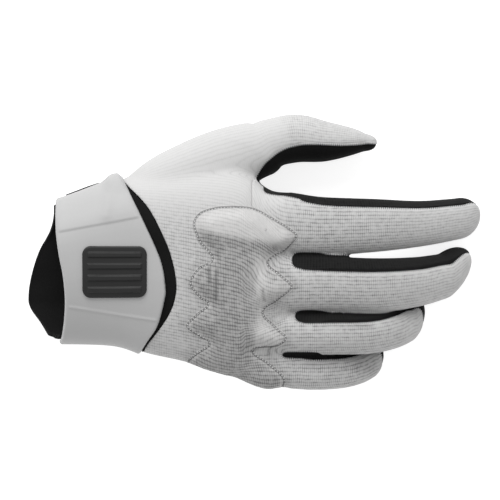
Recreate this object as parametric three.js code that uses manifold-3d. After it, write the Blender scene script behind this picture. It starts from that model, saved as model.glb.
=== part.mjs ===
// Right-hand motocross glove in its worn shape, lying on its palm, thumb and fingertips.
// Millimetres. +X runs from the cuff to the fingertips, +Y towards the thumb, +Z up out of the back of the hand.
// One smooth hand form is built twice, full size and smaller by the cloth's thickness.
// Their difference is the hollow shell, and seam surfaces part it into the cut pieces of the real glove.
import * as THREE from "three";
import { mergeVertices } from "three/addons/utils/BufferGeometryUtils.js";
import Module from "manifold-3d";

const wasm = await Module();
wasm.setup();

// Driving sizes
const HAND_LENGTH = 114; // wrist opening to the crotches of the fingers
const HAND_WIDTH = 94; // across the knuckles
const HAND_DEPTH = 44; // table to the top of the knuckles
const CLOTH = 1.8; // wall of the knit, the side strips and the palm
const SEAM_GAP = 0.3; // clearance between neighbouring pieces

const THUMB_START = 44; // wrist opening to the root of the thumb
const THUMB_REACH = 109; // root of the thumb to its tip, seen from above
const THUMB_SPREAD = 27; // how far the thumb stands away from its root, sideways
const THUMB_WIDTH = 24;
const THUMB_HEIGHT = 27;

const INDEX_LENGTH = 111.5; // knuckle to the root of each round fingertip
const MIDDLE_LENGTH = 107.7;
const RING_LENGTH = 84;
const LITTLE_LENGTH = 69.5;
const FINGER_WIDTH = 27.6; // index finger at its middle joint
const FINGER_THICKNESS = 20;

const CUFF_TAB = 18; // pull tab of the inner cuff, past the wrist opening
const CUFF_COVER = 57; // wrist opening to the knit's edge, at its deepest
const PALM_START = 35; // wrist opening to the palm piece
const STRAP_WIDTH = 48; // wrist strap, along the hand, at its widest
const STRAP_THICKNESS = 2.2;
const STRAP_ENDS = 9; // height of the strap's two ends above the table
const STRAP_LIP = 1.5; // how far the strap stands out over the cuff's end
const PATCH_LENGTH = 31; // rubber patch on the strap, along the hand
const PATCH_WIDTH = 24; // and across it
const PATCH_PLACE = 28; // wrist opening to its middle
const PATCH_CORNER = 4; // radius of its corners
const PATCH_MARGIN = 2.5; // from the ends of its ribs to its edge
const PATCH_BASE = 0.9;
const PATCH_RIB_HEIGHT = 0.9;
const PATCH_RIB_WIDTH = 2.4;
const PATCH_RIB_CORNER = 1.1; // radius of a rib's ends, just under half its width
const PATCH_RIB_COUNT = 4;
const PAD_THICKNESS = 3.4; // knuckle pad
const PAD_FLANGE = 1.2; // its stitched border's thickness
const PAD_BORDER = 3; // and that border's width
const KNUCKLE_SEAM = 93.5; // wrist opening to the seam between hand back and finger backs
const FRONT_SEAM = 106; // wrist opening to the crease between palm and finger fronts
const THUMB_SEAM = 84; // wrist opening to the seam of the thumb's inner piece

// Each finger: how far it reaches, the place of its root in shares of the hand's length and width,
// its width and depth in shares of the finger sizes, how it is rolled, and the length and sideways shift
// of its round tip, in shares of its width.
// seams are angles from its thumb side over its back: the back panel lies between the first two,
// the palm between the last two. taper is the share of the reach in which the side strip widens to its full
// angle, from the share SEAM_START of it.
// Its rows are sections: the share of the reach, the sideways shift in shares of the width,
// the height of the centre in shares of the arch, then the width and depth in shares of their own.
const FINGER_ARCH = 33; // height of the fingers' centre line at its highest
const FINGER_SQUARE = 2.15; // exponent of the sections: 2 is an ellipse, more is squarer
const SEAM_START = 0.25;
const FINGERS = {
  index: {
    reach: INDEX_LENGTH, rootAlong: 0.807, rootSide: 0.255, width: 1, depth: 1, roll: 12, tip: 0.4, tipShift: 0.06,
    seams: [40, 163, 205, 335], taper: 0.4,
    rows: [
      { along: 0.0, aside: 0.02, rise: 0.88, wide: 1.02, deep: 1.2 },
      { along: 0.15, aside: -0.04, rise: 0.93, wide: 1.13, deep: 1.3 },
      { along: 0.31, aside: -0.085, rise: 0.955, wide: 1.05, deep: 1.07 },
      { along: 0.53, aside: -0.07, rise: 0.85, wide: 0.955, deep: 0.97 },
      { along: 0.74, aside: -0.035, rise: 0.53, wide: 0.815, deep: 0.9 },
      { along: 0.905, aside: 0.05, rise: 0.275, wide: 0.73, deep: 0.83 },
    ],
  },
  middle: {
    reach: MIDDLE_LENGTH, rootAlong: 0.807, rootSide: -0.064, width: 0.975, depth: 1, roll: 18, tip: 0.576,
    tipShift: 0.26,
    seams: [47, 163, 205, 335], taper: 0.3,
    rows: [
      { along: 0.0, aside: 0.02, rise: 0.9, wide: 1.0, deep: 1.2 },
      { along: 0.14, aside: 0.01, rise: 0.96, wide: 1.04, deep: 1.3 },
      { along: 0.34, aside: 0.0, rise: 1.005, wide: 1.0, deep: 1.06 },
      { along: 0.56, aside: -0.015, rise: 0.905, wide: 0.99, deep: 0.97 },
      { along: 0.74, aside: 0.055, rise: 0.64, wide: 0.92, deep: 0.93 },
      { along: 0.87, aside: 0.185, rise: 0.355, wide: 0.83, deep: 0.87 },
    ],
  },
  ring: {
    reach: RING_LENGTH, rootAlong: 0.807, rootSide: -0.311, width: 0.732, depth: 0.93, roll: 22, tip: 0.619,
    tipShift: 0.26,
    seams: [37, 163, 205, 335], taper: 0.3,
    rows: [
      { along: 0.0, aside: 0.0, rise: 0.84, wide: 1.06, deep: 1.15 },
      { along: 0.2, aside: 0.0, rise: 0.92, wide: 1.0, deep: 1.18 },
      { along: 0.45, aside: -0.015, rise: 0.96, wide: 0.99, deep: 1.03 },
      { along: 0.65, aside: -0.005, rise: 0.82, wide: 1.0, deep: 0.97 },
      { along: 0.78, aside: 0.09, rise: 0.58, wide: 0.98, deep: 0.91 },
      { along: 0.86, aside: 0.22, rise: 0.365, wide: 0.93, deep: 0.85 },
    ],
  },
  little: {
    reach: LITTLE_LENGTH, rootAlong: 0.754, rootSide: -0.485, width: 0.623, depth: 0.83, roll: 24, tip: 0.552,
    tipShift: 0.22,
    seams: [24, 200, 222, 335], taper: 0.3,
    rows: [
      { along: 0.0, aside: 0.3, rise: 0.68, wide: 0.9, deep: 0.9 },
      { along: 0.2, aside: 0.03, rise: 0.745, wide: 1.0, deep: 1.12 },
      { along: 0.45, aside: -0.115, rise: 0.795, wide: 1.0, deep: 1.05 },
      { along: 0.67, aside: -0.11, rise: 0.69, wide: 0.995, deep: 0.97 },
      { along: 0.8, aside: -0.02, rise: 0.48, wide: 0.96, deep: 0.92 },
      { along: 0.88, aside: 0.1, rise: 0.31, wide: 0.88, deep: 0.86 },
    ],
  },
};

// The strips beside and between the fingers: where each starts, in shares of the hand's length,
// and the fingers that it joins. The web at a crotch belongs to the strip between two heights,
// in shares of the arch, and up to a share of each finger's width from its centre line.
const STRIPS = [
  { name: "index_side_strip", start: 0.86, near: null, far: "index" },
  { name: "index_middle_gusset", start: 0.978, near: "index", far: "middle" },
  { name: "middle_ring_gusset", start: 0.978, near: "middle", far: "ring" },
  { name: "ring_little_gusset", start: 0.978, near: "ring", far: "little" },
];
// The lines, in shares of the hand's width, at which neighbouring fingers part up to the end of their webs
const PARTINGS = { index: [0.075, 0.46], middle: [-0.215, 0.075], ring: [-0.42, -0.215], little: [-0.8, -0.42] };
const PARTING_END = 1.07; // share of the hand's length past which the fingers stand apart
const CROTCH_LOW = 0.6;
const CROTCH_HIGH = 0.96;
const CROTCH_SIDE = 0.4;
const CROTCH_REACH = 1.03; // in shares of the hand's length

// Sections of the hand from the cuff to the finger crotches. along is in shares of the hand's length,
// thumbEdge and littleEdge are in shares of its width, floor and top in shares of its depth.
// seam is the angle in degrees, from the thumb side over the back, at which the knit begins.
const HAND_ROWS = [
  { along: -0.185, thumbEdge: 0.32, littleEdge: -0.318, floor: -0.04, top: 0.94, square: 2.2, seam: -25 },
  { along: 0.0, thumbEdge: 0.347, littleEdge: -0.342, floor: -0.06, top: 0.97, square: 2.2, seam: -25 },
  { along: 0.24, thumbEdge: 0.452, littleEdge: -0.362, floor: -0.06, top: 0.95, square: 2.3, seam: -25 },
  { along: 0.38, thumbEdge: 0.49, littleEdge: -0.415, floor: -0.08, top: 0.955, square: 2.4, seam: -25 },
  { along: 0.518, thumbEdge: 0.51, littleEdge: -0.452, floor: -0.08, top: 0.965, square: 2.45, seam: -25 },
  { along: 0.64, thumbEdge: 0.52, littleEdge: -0.49, floor: -0.05, top: 0.985, square: 2.5, seam: -25 },
  { along: 0.75, thumbEdge: 0.515, littleEdge: -0.52, floor: 0.02, top: 1.0, square: 2.5, seam: -16 },
  { along: 0.83, thumbEdge: 0.47, littleEdge: -0.53, floor: 0.12, top: 0.985, square: 2.5, seam: 6 },
  { along: 0.91, thumbEdge: 0.405, littleEdge: -0.53, floor: 0.24, top: 0.93, square: 2.4, seam: 24 },
  { along: 0.975, thumbEdge: 0.37, littleEdge: -0.52, floor: 0.36, top: 0.84, square: 2.2, seam: 26 },
];
const HAND_LITTLE_SEAM = 205; // and the angle at which it ends
const HAND_LEAN = 0.25; // how much higher the back is on the thumb side
const HAND_END = 1.0; // share of the hand's length at which the web between the fingers ends

// Sections of the thumb: the share of its reach, of its spread, and of the hand's depth for the centre.
// seam is the angle over its back, from the outer side, where the knit ends and the inner piece begins.
const THUMB_ROWS = [
  { along: -0.1, out: -0.3, rise: 0.4, wide: 0.9, tall: 0.9, seam: 160 },
  { along: 0.06, out: 0.15, rise: 0.4, wide: 1.19, tall: 1.16, seam: 165 },
  { along: 0.267, out: 0.54, rise: 0.38, wide: 1.23, tall: 1.2, seam: 170 },
  { along: 0.4, out: 0.715, rise: 0.37, wide: 1.21, tall: 1.14, seam: 172 },
  { along: 0.49, out: 0.815, rise: 0.355, wide: 1.12, tall: 1.07, seam: 138 },
  { along: 0.545, out: 0.93, rise: 0.345, wide: 0.97, tall: 1.03, seam: 118 },
  { along: 0.65, out: 1.01, rise: 0.33, wide: 0.95, tall: 1.0, seam: 105 },
  { along: 0.77, out: 0.96, rise: 0.305, wide: 0.81, tall: 0.95, seam: 103 },
  { along: 0.89, out: 0.955, rise: 0.275, wide: 0.55, tall: 0.79, seam: 102 },
  { along: 0.955, out: 0.94, rise: 0.25, wide: 0.33, tall: 0.55, seam: 102 },
];
const THUMB_SQUARE = 2.1;
const THUMB_ROOT = 0.385; // sideways place of its root, in shares of the hand's width
const THUMB_WEB = 0.46; // and of the web between thumb and index finger
const THUMB_OUTER_SEAM = -62; // where the knit ends on the thumb's outer side
const THUMB_TIP = 5.6; // length of its rounded end

// Edge of the knit over the cuff, the strap's two edges and the pull tab, seen from above.
// side is in shares of the hand's width, the rest in shares of the size in its name.
const KNIT_EDGE = [
  { side: 0.62, along: 0.53 }, { side: 0.485, along: 0.565 }, { side: 0.32, along: 0.775 },
  { side: 0.15, along: 0.92 }, { side: -0.056, along: 1.0 }, { side: -0.16, along: 0.985 },
  { side: -0.3, along: 0.86 }, { side: -0.38, along: 0.76 }, { side: -0.5, along: 0.65 },
];
const STRAP_NEAR_EDGE = [
  { side: 0.6, along: 0.0 }, { side: 0.26, along: -0.006 }, { side: 0.11, along: 0.02 },
  { side: -0.025, along: 0.068 }, { side: -0.143, along: 0.087 }, { side: -0.245, along: 0.077 },
  { side: -0.33, along: 0.044 }, { side: -0.6, along: 0.0 },
];
const STRAP_FAR_EDGE = [
  { side: 0.6, along: 0.6 }, { side: 0.49, along: 0.62 }, { side: 0.27, along: 0.856 },
  { side: 0.06, along: 1.04 }, { side: -0.08, along: 1.09 }, { side: -0.148, along: 1.08 },
  { side: -0.276, along: 1.01 }, { side: -0.37, along: 0.89 }, { side: -0.6, along: 0.6 },
];
const TAB_EDGE = [
  { side: 0.6, out: 0.02 }, { side: 0.37, out: 0.02 }, { side: 0.27, out: 0.08 }, { side: 0.195, out: 0.2 },
  { side: 0.094, out: 0.52 }, { side: -0.033, out: 0.73 }, { side: -0.134, out: 0.8 },
  { side: -0.194, out: 0.74 }, { side: -0.27, out: 0.46 }, { side: -0.337, out: 0.24 }, { side: -0.6, out: 0.06 },
];
const CUFF_SPLIT = 0.4 * HAND_DEPTH; // height above which the cuff ends at the knit's edge, not at the palm's
const PAD_BOTTOM = 0.42 * HAND_DEPTH; // how low the pad reaches on the little finger's side

// Outline of the knuckle pad, seen from above: along in shares of the hand's length, side of its width.
const PAD_OUTLINE = [
  { along: 0.593, side: 0.292 }, { along: 0.57, side: 0.235 }, { along: 0.598, side: 0.143 },
  { along: 0.648, side: 0.063 }, { along: 0.594, side: 0.02 }, { along: 0.555, side: -0.061 },
  { along: 0.598, side: -0.14 }, { along: 0.63, side: -0.168 }, { along: 0.585, side: -0.214 },
  { along: 0.541, side: -0.281 }, { along: 0.602, side: -0.34 }, { along: 0.636, side: -0.368 },
  { along: 0.585, side: -0.41 }, { along: 0.545, side: -0.46 }, { along: 0.55, side: -0.57 },
  { along: 0.65, side: -0.68 }, { along: 0.87, side: -0.68 }, { along: 0.965, side: -0.56 },
  { along: 0.9, side: -0.468 }, { along: 0.832, side: -0.402 }, { along: 0.93, side: -0.385 },
  { along: 0.973, side: -0.338 }, { along: 0.93, side: -0.285 }, { along: 0.873, side: -0.209 },
  { along: 0.93, side: -0.152 }, { along: 0.997, side: -0.08 }, { along: 0.94, side: -0.01 },
  { along: 0.895, side: 0.042 }, { along: 0.96, side: 0.1 }, { along: 1.014, side: 0.172 },
  { along: 0.995, side: 0.212 }, { along: 0.9, side: 0.282 }, { along: 0.82, side: 0.326 },
  { along: 0.715, side: 0.333 }, { along: 0.64, side: 0.32 },
];

// Points of a section: two stand close to each seam, on either side, and the rest fill the arcs between seams
const SEAM_SIDE = 8; // degrees from a seam to the points beside it
const TIP_SHARES = [0.55, 0.85, 0.97]; // where a round tip has its sections, in shares of its length
const THUMB_FILLS = [4, 4];
const FINGER_FILLS = [3, 0, 2, 0];
const HAND_SIDES = 20; // the hand's sections have evenly spread points instead
const HOLLOW_SIDES = 8; // and so have the hollows of fingers and thumb
const SECTOR_STEP = 17; // degrees between the rays of a seam region
const SECTOR_MARGIN = 0.8; // how far a limb's seam region stands outside its form
const BACK_REACH = 1.5; // share by which the region over the back runs past the hand's sections
const EDGE_STEPS = 2; // segments between two named points of an edge
const CORNER_STEPS = 2; // segments of a round corner
const TALL = 3 * HAND_DEPTH; // more than any piece's height
const WIDE = 2 * HAND_WIDTH; // and than its width
const FAR = 4 * HAND_LENGTH; // and past the longest finger
const OVERLAP = 0.01; // by which two parts of one region overlap

const radians = (degrees) => THREE.MathUtils.degToRad(degrees);
const power = (value, square) => Math.sign(value) * Math.abs(value) ** (2 / square);

// A closed mesh as a manifold-3d solid
function solidOf(geometry) {
  geometry.deleteAttribute("normal");
  geometry.deleteAttribute("uv");
  const merged = mergeVertices(geometry, 1e-4);
  return new wasm.Manifold(
    new wasm.Mesh({
      numProp: 3,
      vertProperties: merged.attributes.position.array,
      triVerts: new Uint32Array(merged.index.array),
    }),
  );
}

// A closed solid through rings of points, each ring turning the same way, with a fan at each end
function loft(rings) {
  const count = rings[0].length;
  const positions = rings.flat().flatMap((point) => point.toArray());
  const index = [];
  for (let k = 0; k + 1 < rings.length; k++)
    for (let i = 0; i < count; i++) {
      const a = k * count + i;
      const b = k * count + ((i + 1) % count);
      index.push(a, b, b + count, a, b + count, a + count);
    }
  const last = (rings.length - 1) * count;
  for (let i = 1; i + 1 < count; i++) index.push(0, i + 1, i, last, last + i, last + i + 1);
  const geometry = new THREE.BufferGeometry();
  geometry.setAttribute("position", new THREE.Float32BufferAttribute(positions, 3));
  geometry.setIndex(index);
  return solidOf(geometry);
}

// A point of a section, grown outwards by a distance; nothing goes lower than the table allows
function pointAt(section, angle, grow, scale = 1) {
  const cosine = Math.cos(angle);
  const sine = Math.sin(angle);
  const lean = sine > 0 ? section.lean * section.halfDepth * cosine * sine : 0;
  const across = (section.halfWidth + grow) * power(cosine, section.square) * scale;
  const up = (section.halfDepth + grow) * power(sine, section.square) * scale + lean;
  const point = section.centre.clone().addScaledVector(section.across, across).addScaledVector(section.up, up);
  if (scale === 1) point.z = Math.max(point.z, -grow);
  return point;
}

// The angles of a section's points: evenly spread, or close to its seams
function anglesOf({ seams, fills, sides }) {
  if (sides) return Array.from({ length: sides }, (_, i) => (2 * Math.PI * i) / sides);
  return seams.flatMap((seam, i) => {
    const next = i + 1 < seams.length ? seams[i + 1] : seams[0] + 360;
    const first = seam + SEAM_SIDE;
    const step = (next - SEAM_SIDE - first) / (fills[i] + 1);
    const arc = Array.from({ length: fills[i] + 1 }, (_, k) => radians(first + k * step));
    return [radians(seam - SEAM_SIDE), ...arc];
  });
}

const formOf = (sections, grow) =>
  loft(sections.map((section) => anglesOf(section).map((angle) => pointAt(section, angle, grow))));

// The region between two angles about a centre line, widened at both seams by a distance
function sectorOf(sections, anglesAt, widen = 0, grow = SECTOR_MARGIN, scale = 1) {
  const widest = Math.max(...sections.map((section) => anglesAt(section)[1] - anglesAt(section)[0]));
  const rays = Math.ceil(widest / SECTOR_STEP);
  return loft(
    sections.map((section) => {
      const [from, to] = anglesAt(section);
      const extra = widen / Math.min(section.halfWidth, section.halfDepth);
      const first = radians(from) - extra;
      const step = (radians(to) + extra - first) / rays;
      const arc = Array.from({ length: rays + 1 }, (_, i) => pointAt(section, first + i * step, grow, scale));
      return [section.centre.clone(), ...arc];
    }),
  );
}

// A region seen from above, between two heights
function planRegion(points, low, high) {
  const geometry = new THREE.ExtrudeGeometry(new THREE.Shape(points), { depth: high - low, bevelEnabled: false });
  return solidOf(geometry.translate(0, 0, low));
}

function boxBetween(low, high) {
  const size = new THREE.Vector3().subVectors(high, low);
  const centre = new THREE.Vector3().addVectors(low, high).multiplyScalar(0.5);
  return solidOf(new THREE.BoxGeometry(size.x, size.y, size.z).translate(centre.x, centre.y, centre.z));
}

// The space ahead of a place along the hand, between two places across it, and the space behind one
const ahead = (x, low, high) => boxBetween(new THREE.Vector3(x, low, -TALL), new THREE.Vector3(FAR, high, TALL));
const behind = (x, top = TALL) => boxBetween(new THREE.Vector3(-FAR, -WIDE, -TALL), new THREE.Vector3(x, WIDE, top));

const smooth = (points, perSpan, closed = false) => {
  const curve = new THREE.CatmullRomCurve3(points.map((p) => new THREE.Vector3(p.x, p.y, 0)), closed);
  const spans = closed ? points.length : points.length - 1;
  return curve.getPoints(spans * perSpan).map((p) => new THREE.Vector2(p.x, p.y));
};

// Frames along a limb: across points to the thumb side and up out of its back
function withFrames(sections) {
  sections.forEach((section, k) => {
    const before = sections[Math.max(k - 1, 0)].centre;
    const after = sections[Math.min(k + 1, sections.length - 1)].centre;
    const along = new THREE.Vector3().subVectors(after, before).normalize();
    const level = new THREE.Vector3(0, 0, 1).cross(along).normalize();
    section.along = along;
    section.across = level.clone().applyAxisAngle(along, radians(section.roll));
    section.up = along.clone().cross(section.across);
  });
  return sections;
}

// A limb's sections with its rounded end: they shrink as a quarter circle does
function withTip({ sections, tip, tipShift }, shares) {
  const end = sections[sections.length - 1];
  const rounded = shares.map((share) => {
    const shrink = Math.sqrt(1 - share * share);
    return {
      ...end,
      centre: end.centre
        .clone()
        .addScaledVector(end.along, tip * share)
        .addScaledVector(end.across, tipShift * share),
      halfWidth: end.halfWidth * shrink,
      halfDepth: end.halfDepth * shrink,
    };
  });
  return [...sections, ...rounded];
}

function handSections() {
  return HAND_ROWS.map((row) => {
    const thumbEdge = row.thumbEdge * HAND_WIDTH;
    const littleEdge = row.littleEdge * HAND_WIDTH;
    const floor = row.floor * HAND_DEPTH;
    const top = row.top * HAND_DEPTH;
    return {
      centre: new THREE.Vector3(row.along * HAND_LENGTH, (thumbEdge + littleEdge) / 2, (floor + top) / 2),
      across: new THREE.Vector3(0, 1, 0),
      up: new THREE.Vector3(0, 0, 1),
      halfWidth: (thumbEdge - littleEdge) / 2,
      halfDepth: (top - floor) / 2,
      square: row.square,
      lean: HAND_LEAN,
      seams: [row.seam, HAND_LITTLE_SEAM],
      sides: HAND_SIDES,
    };
  });
}

function fingerSections(finger) {
  const width = finger.width * FINGER_WIDTH;
  const depth = finger.depth * FINGER_THICKNESS;
  const sections = finger.rows.map((row) => ({
    centre: new THREE.Vector3(
      finger.rootAlong * HAND_LENGTH + row.along * finger.reach,
      finger.rootSide * HAND_WIDTH + row.aside * width,
      row.rise * FINGER_ARCH,
    ),
    halfWidth: (row.wide * width) / 2,
    halfDepth: (row.deep * depth) / 2,
    square: FINGER_SQUARE,
    lean: 0,
    roll: finger.roll,
    seams: [finger.seams[0] * Math.min(1, SEAM_START + row.along / finger.taper), ...finger.seams.slice(1)],
    fills: FINGER_FILLS,
  }));
  return { sections: withFrames(sections), tip: finger.tip * width, tipShift: finger.tipShift * width };
}

function thumbSections() {
  const sections = THUMB_ROWS.map((row) => ({
    centre: new THREE.Vector3(
      THUMB_START + row.along * THUMB_REACH,
      THUMB_ROOT * HAND_WIDTH + row.out * THUMB_SPREAD,
      row.rise * HAND_DEPTH,
    ),
    halfWidth: (row.wide * THUMB_WIDTH) / 2,
    halfDepth: (row.tall * THUMB_HEIGHT) / 2,
    square: THUMB_SQUARE,
    lean: 0,
    roll: 0,
    seams: [THUMB_OUTER_SEAM, row.seam],
    fills: THUMB_FILLS,
  }));
  return { sections: withFrames(sections), tip: THUMB_TIP, tipShift: 0 };
}

const hand = handSections();
const thumb = thumbSections();
const fingers = Object.fromEntries(Object.entries(FINGERS).map(([name, finger]) => [name, fingerSections(finger)]));
const limbs = [thumb, ...Object.values(fingers)];

// The hand's sections, closed past the last one by the web between the fingers
function handUpTo(end) {
  const last = hand[hand.length - 1];
  return [...hand, { ...last, centre: last.centre.clone().setX(end) }];
}

// The whole hand form, grown outwards by a distance
const handForm = (grow) =>
  limbs.reduce(
    (form, limb) => form.add(formOf(withTip(limb, TIP_SHARES), grow)),
    formOf(handUpTo(HAND_END * HAND_LENGTH), grow),
  );

// The hollow that the hand goes into: one cloth's thickness inside the form, at the tips too
function handHollow() {
  const inside = (limb) => {
    const sections = withTip(limb, TIP_SHARES.slice(0, -1));
    const pulled = sections.map((section, k) => ({
      ...section,
      centre: section.centre.clone().addScaledVector(section.along, k < limb.sections.length ? 0 : -CLOTH),
      sides: HOLLOW_SIDES,
    }));
    return formOf(pulled, -CLOTH);
  };
  return limbs.reduce(
    (form, limb) => form.add(inside(limb)),
    formOf(handUpTo(HAND_END * HAND_LENGTH - CLOTH), -CLOTH),
  );
}

// A limb's panel between two of its seams. The palm side wraps the tip, so the panel ends where the hollow does.
function panelRegion(limb, anglesAt, widen) {
  const hollowEnd = TIP_SHARES[TIP_SHARES.length - 2] * limb.tip - CLOTH;
  const end = (hollowEnd - 2 * SEAM_GAP + widen) / limb.tip;
  return sectorOf(withTip(limb, [end / 2, end]), anglesAt, widen, SECTOR_MARGIN + widen);
}

// What shows of the knit: the backs of hand, thumb and fingers
function backRegion(widen = 0) {
  const backSeams = (section) => section.seams.slice(0, 2);
  return limbs.reduce(
    (all, limb) => all.add(panelRegion(limb, backSeams, widen)),
    sectorOf(handUpTo(HAND_END * HAND_LENGTH + 1), backSeams, widen, widen, BACK_REACH),
  );
}

// The strip between two neighbouring fingers, or along the thumb side of the first
function stripRegion(start, near, far, widen = 0) {
  const thumbSide = (section) => [section.seams[3] - 360, section.seams[0]];
  const littleSide = (section) => section.seams.slice(1, 3);
  const reach = ahead(start * HAND_LENGTH - widen, -WIDE, WIDE);
  if (!near) return panelRegion(fingers[far], thumbSide, widen).intersect(reach);
  const [low, high] = [
    [start * HAND_LENGTH - widen, edgeOf(far, 1) - widen, CROTCH_LOW * FINGER_ARCH - widen],
    [CROTCH_REACH * HAND_LENGTH + widen, edgeOf(near, -1) + widen, CROTCH_HIGH * FINGER_ARCH + widen],
  ].map((corner) => new THREE.Vector3(...corner));
  return panelRegion(fingers[near], littleSide, widen)
    .add(panelRegion(fingers[far], thumbSide, widen))
    .intersect(reach)
    .add(boxBetween(low, high));
}

// All that belongs to one finger: between its partings near the hand, and its own form past them
function fingerRegion(name, widen = 0) {
  const end = PARTING_END * HAND_LENGTH;
  const [low, high] = PARTINGS[name].map((side) => side * HAND_WIDTH);
  const webs = ahead(KNUCKLE_SEAM - SEAM_GAP, low - widen, high).intersect(behind(end + OVERLAP));
  const form = formOf(withTip(fingers[name], TIP_SHARES), OVERLAP + widen);
  return webs.add(form.intersect(ahead(end, -WIDE, WIDE)));
}

// Where the crotch's web ends on a finger, on its thumb side (1) or its little finger's side (-1)
const edgeOf = (name, side) =>
  FINGERS[name].rootSide * HAND_WIDTH + side * CROTCH_SIDE * FINGERS[name].width * FINGER_WIDTH;

// The largest connected body of a solid, without the crumbs that seams can leave
function largestBody(solid) {
  return solid.decompose().sort((a, b) => b.volume() - a.volume())[0];
}

const edgeCurve = (rows, length, key = "along") =>
  smooth(rows.map((row) => ({ x: row[key] * length, y: row.side * HAND_WIDTH })), EDGE_STEPS);

// Everything from the cuff's open end up to its seams, which the hand's own pieces leave free
function behindCuff(widen) {
  const knitEdge = edgeCurve(KNIT_EDGE, CUFF_COVER).map((p) => new THREE.Vector2(p.x + widen, p.y));
  const last = knitEdge[knitEdge.length - 1];
  const ends = [new THREE.Vector2(-HAND_LENGTH, last.y), new THREE.Vector2(-HAND_LENGTH, knitEdge[0].y)];
  const over = planRegion([...knitEdge, ...ends], CUFF_SPLIT, TALL);
  return over.add(behind(PALM_START + widen, CUFF_SPLIT + OVERLAP));
}

// The cuff: its back starts under the strap's near edge, its palm side with the pull tab
function cuffRegion() {
  const nearEdge = edgeCurve(STRAP_NEAR_EDGE, STRAP_WIDTH).map((p) => new THREE.Vector2(p.x + STRAP_LIP, p.y));
  const knitEdge = edgeCurve(KNIT_EDGE, CUFF_COVER);
  const tabEdge = edgeCurve(TAB_EDGE, -CUFF_TAB, "out");
  const far = tabEdge[tabEdge.length - 1];
  const corners = [new THREE.Vector2(PALM_START, far.y), new THREE.Vector2(PALM_START, tabEdge[0].y)];
  return planRegion([...knitEdge, ...nearEdge.reverse()], CUFF_SPLIT, TALL).add(
    planRegion([...tabEdge, ...corners], -TALL, CUFF_SPLIT + OVERLAP),
  );
}

function strapRegion() {
  const near = edgeCurve(STRAP_NEAR_EDGE, STRAP_WIDTH);
  const far = edgeCurve(STRAP_FAR_EDGE, STRAP_WIDTH);
  return planRegion([...near, ...far.reverse()], STRAP_ENDS, TALL);
}

// A rectangle with round corners at the patch's place, seen from above
function roundedRectangle(side, length, width, radius) {
  const shape = new THREE.Shape();
  const corners = [[1, -1, -90], [1, 1, 0], [-1, 1, 90], [-1, -1, 180]];
  for (const [sideX, sideY, start] of corners)
    shape.absarc(
      PATCH_PLACE + sideX * (length / 2 - radius),
      side + sideY * (width / 2 - radius),
      radius,
      radians(start),
      radians(start + 90),
      false,
    );
  return shape.getPoints(CORNER_STEPS);
}

// A layer over the hand's form, between two distances from it
function bandOf(low, high) {
  const last = hand.length - 1;
  const longer = hand.map((section, k) => {
    const stretch = k === 0 ? -1 : k === last ? 1 : 0;
    return { ...section, centre: section.centre.clone().add(new THREE.Vector3(stretch, 0, 0)) };
  });
  return formOf(hand, high).subtract(formOf(longer, low));
}

// Rubber patch with raised cross ribs, where the strap is gripped
function strapPatch() {
  const base = STRAP_THICKNESS + 2 * SEAM_GAP;
  const plate = bandOf(base, base + PATCH_BASE).intersect(
    planRegion(roundedRectangle(0, PATCH_LENGTH, PATCH_WIDTH, PATCH_CORNER), STRAP_ENDS, TALL),
  );
  const pitch = (PATCH_WIDTH - PATCH_MARGIN) / PATCH_RIB_COUNT;
  const ribBand = bandOf(base, base + PATCH_BASE + PATCH_RIB_HEIGHT);
  const ribLength = PATCH_LENGTH - 2 * PATCH_MARGIN;
  let patch = plate;
  for (let i = 0; i < PATCH_RIB_COUNT; i++) {
    const side = (i - (PATCH_RIB_COUNT - 1) / 2) * pitch;
    const rib = roundedRectangle(side, ribLength, PATCH_RIB_WIDTH, PATCH_RIB_CORNER);
    patch = patch.add(ribBand.intersect(planRegion(rib, STRAP_ENDS, TALL)));
  }
  return patch;
}

// The knuckle pad: a thin stitched border and a raised core, both following the back of the hand
function knucklePad() {
  const corners = PAD_OUTLINE.map((row) => new THREE.Vector2(row.along * HAND_LENGTH, row.side * HAND_WIDTH));
  const inset = corners.map((point, i) => {
    const before = corners[(i + corners.length - 1) % corners.length];
    const after = corners[(i + 1) % corners.length];
    const side = new THREE.Vector2(before.y - after.y, after.x - before.x).normalize();
    return point.clone().addScaledVector(side, PAD_BORDER);
  });
  const outline = smooth(corners, 2, true).slice(0, -1);
  const core = smooth(inset, 1, true).slice(0, -1);
  const under = handForm(SEAM_GAP);
  const border = handForm(SEAM_GAP + PAD_FLANGE).intersect(planRegion(outline, PAD_BOTTOM, TALL));
  const raised = handForm(SEAM_GAP + PAD_THICKNESS).intersect(planRegion(core, PAD_BOTTOM, TALL));
  return largestBody(border.add(raised).subtract(under));
}

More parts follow.
